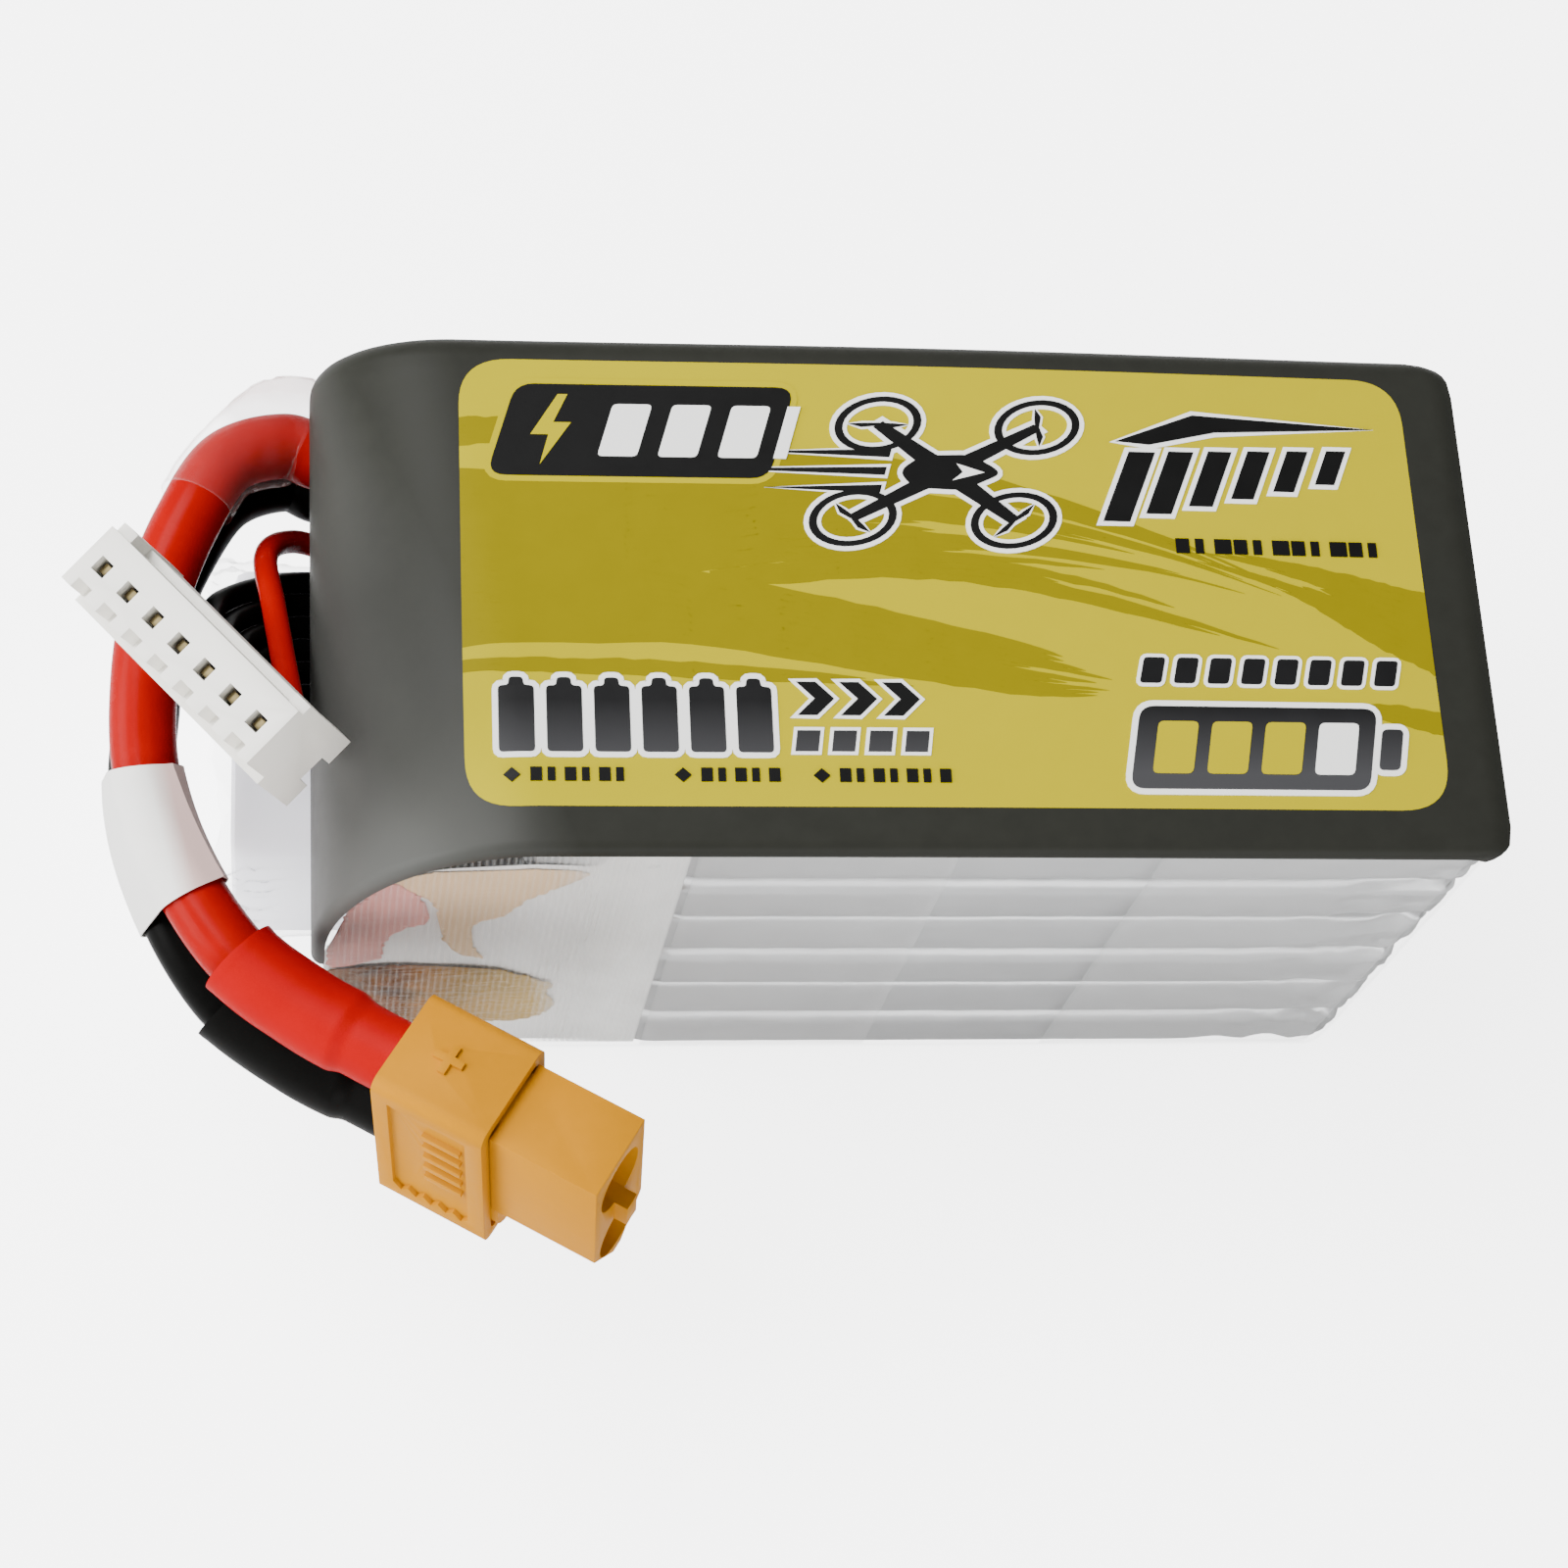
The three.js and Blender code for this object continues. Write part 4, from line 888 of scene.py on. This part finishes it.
def island(loops, cuts, place, lift, thick, clip=None):
    """Vertices and faces of a closed sheet with the given outline (and holes), cut into a grid
    and put in space by place(u, v, lift)."""
    bm = bmesh.new()
    verts = [bm.verts.new((p[0], p[1], 0)) for loop in loops for p in loop]
    for tri in geometry.tessellate_polygon([[Vector((p[0], p[1], 0)) for p in loop] for loop in loops]):
        if len(set(tri)) == 3:
            bm.faces.new([verts[k] for k in tri])
    bmesh.ops.remove_doubles(bm, verts=bm.verts, dist=1e-4)
    planes = [((c, 0), (1, 0)) if axis == "x" else ((0, c), (0, 1)) for c, axis in cuts]
    trims = [((clip[0], 0), (-1, 0)), ((clip[1], 0), (1, 0))] if clip else []
    for where, normal in planes + trims:
        bmesh.ops.bisect_plane(bm, geom=bm.verts[:] + bm.edges[:] + bm.faces[:], dist=1e-5, plane_co=(*where, 0),
                               plane_no=(*normal, 0), clear_outer=(where, normal) in trims)
    bmesh.ops.triangulate(bm, faces=bm.faces)
    bm.verts.index_update()
    flat = [(v.co.x, v.co.y) for v in bm.verts]
    up = []
    for f in bm.faces:
        tri = [v.index for v in f.verts]
        up.append(tri if f.normal.z > 0 else tri[::-1])
    bm.free()
    count = len(flat)
    edges = {(t[k], t[(k + 1) % 3]) for t in up for k in range(3)}
    out = [tuple(place(u, v, lift)) for u, v in flat] + [tuple(place(u, v, lift - thick)) for u, v in flat]
    faces = up + [[count + k for k in t[::-1]] for t in up]
    faces += [[p, p + count, q + count, q] for p, q in edges if (q, p) not in edges]
    return out, faces


def printed(name, outlines, mat, lift):
    """Thin closed islands over the label. Each outline is a list of loops: the outer one, then
    holes. Each island lies a hair above the one before it, so that none share a plane."""
    cuts = [(c, "x") for c in np.arange(-36, 36, 1.0) if c < -20 or c % 5 == 0]
    cuts += [(c, "y") for c in np.arange(-16, 18, 3.0)]
    all_verts, all_faces = [], []
    for order, loops in enumerate(outlines):
        level = lift + order * PRINT_STEP
        verts, faces = island(loops, cuts, label_point, level, level + PRINT_THICK, PANEL[:2])
        base = len(all_verts)
        all_verts += verts
        all_faces += [[base + k for k in f] for f in faces]
    return add_piece(name, all_verts, all_faces, mat, "pack", sharp=30)


# ---- flat shapes of the artwork
def ccw(loop):
    area = sum(a[0] * b[1] - b[0] * a[1] for a, b in zip(loop, loop[1:] + loop[:1]))
    return loop if area > 0 else loop[::-1]


def grid_cuts(x0, x1, y0, y1, step):
    return [(c, "x") for c in np.arange(x0, x1, step)] + [(c, "y") for c in np.arange(y0, y1, step)]


def soften(loop, r, n=5):
    """Rounds every corner of a loop with radius about r."""
    out = []
    for k, p in enumerate(loop):
        a, b = Vector(loop[k - 1]), Vector(loop[(k + 1) % len(loop)])
        p = Vector(p)
        ra = min(r, (a - p).length * 0.45)
        rb = min(r, (b - p).length * 0.45)
        s, e = p + (a - p).normalized() * ra, p + (b - p).normalized() * rb
        for i in range(n + 1):
            t = i / n
            q = s * (1 - t) ** 2 + p * 2 * t * (1 - t) + e * t**2
            out.append((q.x, q.y))
    return out


def grown(loop, d):
    """The loop moved outwards by d, with long points cut short."""
    loop = ccw(loop)
    out = []
    for k, p in enumerate(loop):
        a, b = Vector(loop[k - 1]), Vector(loop[(k + 1) % len(loop)])
        p = Vector(p)
        e1, e2 = (p - a).normalized(), (b - p).normalized()
        n1, n2 = Vector((e1.y, -e1.x)), Vector((e2.y, -e2.x))
        m = n1 + n2
        m = m * (d / max(1 + n1.dot(n2), 0.35))
        out.append((p.x + m.x, p.y + m.y))
    return out


def leaning(x, y, w, h, k):
    """A box of w by h whose sides lean by k."""
    return [(x, y), (x + w, y), (x + w + k * h, y + h), (x + k * h, y + h)]


def moved(loop, x, y, s=1.0, lean=0.0, turn=0.0):
    c, n = math.cos(turn), math.sin(turn)
    out = []
    for px, py in loop:
        qx, qy = s * (px * c - py * n), s * (px * n + py * c)
        out.append((x + qx + lean * qy, y + qy))
    return out


def brush(spine, halves, seed, bristles, spread=0.45):
    """A dry brush stroke: overlapping bristle marks that run out one after another."""
    rng = random.Random(seed)
    shapes = []
    for k in range(bristles):
        offset = 2 * (k + 0.5) / bristles - 1
        last = 1 - spread * rng.random() ** 1.6
        ts = np.linspace(0, (len(spine) - 1) * last, 30)
        pts = catmull([(x, y, 0) for x, y in spine], ts)
        half = np.interp(ts, range(len(halves)), halves)
        way = unit(np.gradient(pts[:, :2], axis=0))
        across = np.column_stack([-way[:, 1], way[:, 0]])
        centre = pts[:, :2] + across * (offset * half)[:, None]
        wide = half / bristles * 1.45 * np.sqrt(np.clip(1 - np.linspace(0, 1, 30) ** 5, 0, 1)) + 0.01
        jitter = np.array([rng.uniform(0.75, 1.25) for _ in range(60)]).reshape(2, 30)
        top = centre + across * (wide * jitter[0])[:, None]
        bottom = centre - across * (wide * jitter[1])[:, None]
        shapes.append([ccw([tuple(p) for p in top] + [tuple(p) for p in bottom[::-1]])])
    return shapes


def artwork():
    x0, x1, y0, y1 = PANEL
    corner = [(x0, y0), (x1, y0), (x1, y1), (x0, y1)]
    printed("panel_yellow", [[soften(corner, 3.6, 10)]], PRINT_YELLOW, 0.02)
    strokes = brush([(-33, 11.2), (-24, 11.4), (-13, 10.6)], [0.95, 0.9, 0.6], 3, 4)
    strokes += brush([(-33, 3.6), (-18, 4.4), (-6, 6.0), (5, 5.2), (17, 2.6), (27, -0.8)],
                     [4.7, 3.6, 4.0, 3.2, 1.7, 0.6], 5, 15, 0.55)
    strokes += brush([(-33, -0.2), (-16, -1.6), (-3, -4.0), (7, -6.0), (13, -7.0)],
                     [4.3, 2.6, 2.3, 1.9, 1.0], 7, 10, 0.25)
    strokes += brush([(-14, 0.4), (0, 1.6), (12, -0.2), (26, -4.4)], [0.6, 0.9, 0.9, 0.5], 9, 4, 0.4)
    strokes += brush([(-33, -5.9), (-17, -6.2), (0, -7.2)], [0.35, 0.5, 0.3], 8, 2, 0.2)
    strokes += brush([(38, -3.6), (33, -1.6), (27, 0.9), (19, 3.0)], [3.0, 2.4, 1.3, 0.6], 11, 9, 0.5)
    strokes += brush([(38, -10.2), (33, -9.0), (28, -8.4)], [0.8, 0.6, 0.3], 12, 3, 0.4)
    printed("strokes_olive", strokes, PRINT_OLIVE, 0.03)

    black, white, grey, gold = [], [], [], []

    def outlined(loop, store, edge=0.34):
        loop = ccw(loop)
        white.append([grown(loop, edge)])
        store.append([loop])

    # Badge: a leaning plate with a bolt and three leaning bars.
    plate = soften(leaning(-28.9, 8.0, 19.2, 7.0, 0.3), 1.3)
    gold.append([grown(plate, 0.45)])
    black.append([ccw(plate)])
    bolt = [(0.1, 1.0), (-0.5, -0.15), (-0.05, -0.15), (-0.2, -1.0), (0.5, 0.2), (0.05, 0.2), (0.35, 1.0)]
    top_gold = [[ccw(moved(bolt, -24.5, 11.5, 2.7, 0.1))]]
    top_white = []
    for k in range(3):
        x = -21.4 + k * 4.1
        top_white.append([soften(ccw(leaning(x, 9.5, 2.7, 4.0, 0.3)), 0.35, 3)])
    top_white.append([ccw(leaning(-9.35, 9.5, 0.9, 4.0, 0.3))])

    # Emblem: a four-rotor craft seen from above, leaning, with trails behind it.
    cx, cy, lean, squash = 2.6, 8.7, 0.3, 0.72
    at = lambda px, py: (cx + px + lean * py * squash, cy + py * squash)
    for sx in (-1, 1):
        for sy in (-1, 1):
            hx, hy = 5.6 * sx, 5.0 * sy
            d = Vector((hx, hy)).normalized()
            n = Vector((-d.y, d.x))
            a, b = d * 1.2, Vector((hx, hy))
            arm = [a - n * 0.75, b - n * 0.42, b + n * 0.42, a + n * 0.75]
            outlined([at(q.x, q.y) for q in arm], black)
            turns = np.linspace(0, 2 * np.pi, 33)[:-1]
            ring, hole = [[at(hx + r * math.cos(t), hy + r * math.sin(t)) for t in turns] for r in (3.0, 2.45)]
            white.append([grown(ring, 0.34), grown(hole, -0.3)[::-1]])
            black.append([ring, hole[::-1]])
            turn = 0.5 + 0.9 * sx + 0.4 * sy
            blade = [(-2.1, 0.0), (-1.1, -0.34), (0, -0.14), (1.1, -0.34),
                     (2.1, 0.0), (1.1, 0.1), (0, 0.14), (-1.1, 0.1)]
            outlined([at(hx + q[0], hy + q[1]) for q in moved(blade, 0, 0, 1.0, 0, turn)], black, 0.16)
    hull = [(-3.3, 0.0), (-2.0, 1.7), (1.5, 1.9), (4.0, 0.0), (1.5, -1.9), (-2.0, -1.7)]
    outlined(soften([at(*q) for q in hull], 0.8), black)
    top_white.append([ccw([at(*q) for q in ((0.6, 0.9), (2.7, 0.0), (0.6, -0.9), (1.2, 0.0))])])
    for k, (length, lift) in enumerate(((9.5, 1.9), (12.5, 0.0), (8.0, -1.9))):
        tail = [(-4.2, lift + 0.42), (-4.2 - length, lift), (-4.2, lift - 0.42)]
        outlined([at(*q) for q in tail], black, 0.24)

    # Fin: a long blade over leaning bars that shorten towards the free end.
    outlined([(14.8, 11.4), (20.5, 13.6), (33.6, 12.9), (22.0, 12.3), (17.2, 11.2)], black)
    for k in range(6):
        h = 5.4 - 0.55 * k
        outlined(leaning(13.4 + 3.1 * k, 10.6 - h + 0.1 * k, 1.9 - 0.1 * k, h, 0.42), black)
    for k in range(11):
        w = (0.95, 0.6, 1.2)[k % 3]
        black.append([leaning(18.4 + 1.38 * k, 2.9, w, 1.1, 0.0)])

    # Row of six cells, with arrows and bars beside it.
    for k in range(6):
        x = -28.4 + 3.15 * k
        cell = [(x, -12.2), (x + 2.35, -12.2), (x + 2.35, -7.5), (x + 1.65, -7.5), (x + 1.65, -6.9),
                (x + 0.7, -6.9), (x + 0.7, -7.5), (x, -7.5)]
        outlined(soften(cell, 0.3, 3), grey, 0.4)
    for k in range(3):
        x = -8.6 + 2.9 * k
        arrow = [(x, -7.1), (x + 1.3, -7.1), (x + 2.5, -8.3), (x + 1.3, -9.5), (x, -9.5), (x + 1.2, -8.3)]
        outlined(arrow, black, 0.26)
    for k in range(4):
        outlined(leaning(-8.9 + 2.45 * k, -12.1, 1.55, 1.5, 0.15), grey, 0.24)
    for x, bars in ((-27.6, 6), (-16.4, 5), (-7.2, 7)):
        black.append([ccw([(x - 0.55, -13.8), (x, -14.3), (x + 0.55, -13.8), (x, -13.3)])])
        for k in range(bars):
            black.append([leaning(x + 1.2 + 1.12 * k, -14.25, (0.75, 0.5)[k % 2], 0.95, 0.0)])

    # Charge icon: a leaning case with a terminal at its end and four segments inside.
    for k in range(8):
        outlined(soften(leaning(14.9 + 2.35 * k, -6.9, 1.5, 1.9, 0.25), 0.25, 3), grey, 0.26)
    case = soften(leaning(13.6, -14.6, 16.6, 6.0, 0.2), 1.0)
    outlined(case, grey, 0.42)
    outlined(soften(leaning(31.0, -13.1, 1.5, 3.0, 0.2), 0.4), grey, 0.42)
    for k in range(4):
        seg = soften(ccw(leaning(15.2 + 3.75 * k, -13.5, 2.8, 3.8, 0.2)), 0.4, 3)
        (top_gold if k < 3 else top_white).append([seg])
    printed("marks_rim", gold, PRINT_YELLOW, 0.06)
    printed("marks_white", white, PRINT_WHITE, 0.065)
    printed("marks_grey", grey, PRINT_GREY, 0.1)
    printed("marks_black", black, PRINT_BLACK, 0.1)
    printed("marks_top_gold", top_gold, PRINT_YELLOW, 0.14)
    printed("marks_top_white", top_white, PRINT_WHITE, 0.14)


for build in (build_label, build_film, build_tape, under_lap, film_bands, build_cells, build_side_sheets,
              power_wires, lead_film, paper_band, heat_shrinks, connectors, balance_wires, film_mouth, artwork):
    build()


# ---- stage
def studio():
    floor_mesh = bpy.data.meshes.new("floor")
    size = 3.0
    corners = [(-size, -size, 0), (size, -size, 0), (size, size, 0), (-size, size, 0)]
    floor_mesh.from_pydata(corners, [], [[0, 1, 2, 3]])
    pale = node_material("floor_white", (0.9, 0.9, 0.9), 0.8, tint=0.0, specular=0.0)
    seen = add_node(pale.node_tree, "LightPath").outputs["Is Camera Ray"]
    glowing(pale, (1, 1, 1), link_math(pale.node_tree, "MULTIPLY", seen, 4.0))
    floor_mesh.materials.append(pale)
    put("floor", floor_mesh)
    world = bpy.data.worlds.new("studio")
    world.use_nodes = True
    world.node_tree.nodes["Background"].inputs["Color"].default_value = (1, 1, 1, 1)
    world.node_tree.nodes["Background"].inputs["Strength"].default_value = 0.45
    bpy.context.scene.world = world

    def area(name, where, at, size, power):
        light = bpy.data.lights.new(name, "AREA")
        light.shape = "RECTANGLE"
        light.size, light.size_y = size
        light.energy = power
        obj = put(name, light)
        obj.location = where
        obj.rotation_euler = (Vector(at) - Vector(where)).to_track_quat("-Z", "Y").to_euler()
    area("key", (-0.3, 0.15, 0.55), (0, 0, 0.03), (0.5, 0.35), 7.5)
    area("front", (0.1, -0.6, 0.18), (0, 0, 0.03), (0.7, 0.3), 3.2)
    area("left", (-0.6, -0.1, 0.2), (-0.03, 0, 0.03), (0.35, 0.35), 4.5)


def camera():
    right, up, back = (0.98911, -0.04919, 0.13874), (-0.00684, 0.92614, 0.37712), (-0.14704, -0.37396, 0.91571)
    cam = bpy.data.cameras.new("camera")
    cam.lens = 77.13
    cam.sensor_width = 36
    cam.clip_start = 0.01
    obj = put("camera", cam)
    turn = Matrix((right, up, back)).transposed().to_4x4()
    obj.matrix_world = Matrix.Translation((-0.04221, -0.096964, 0.247251)) @ turn
    bpy.context.scene.camera = obj


studio()
camera()
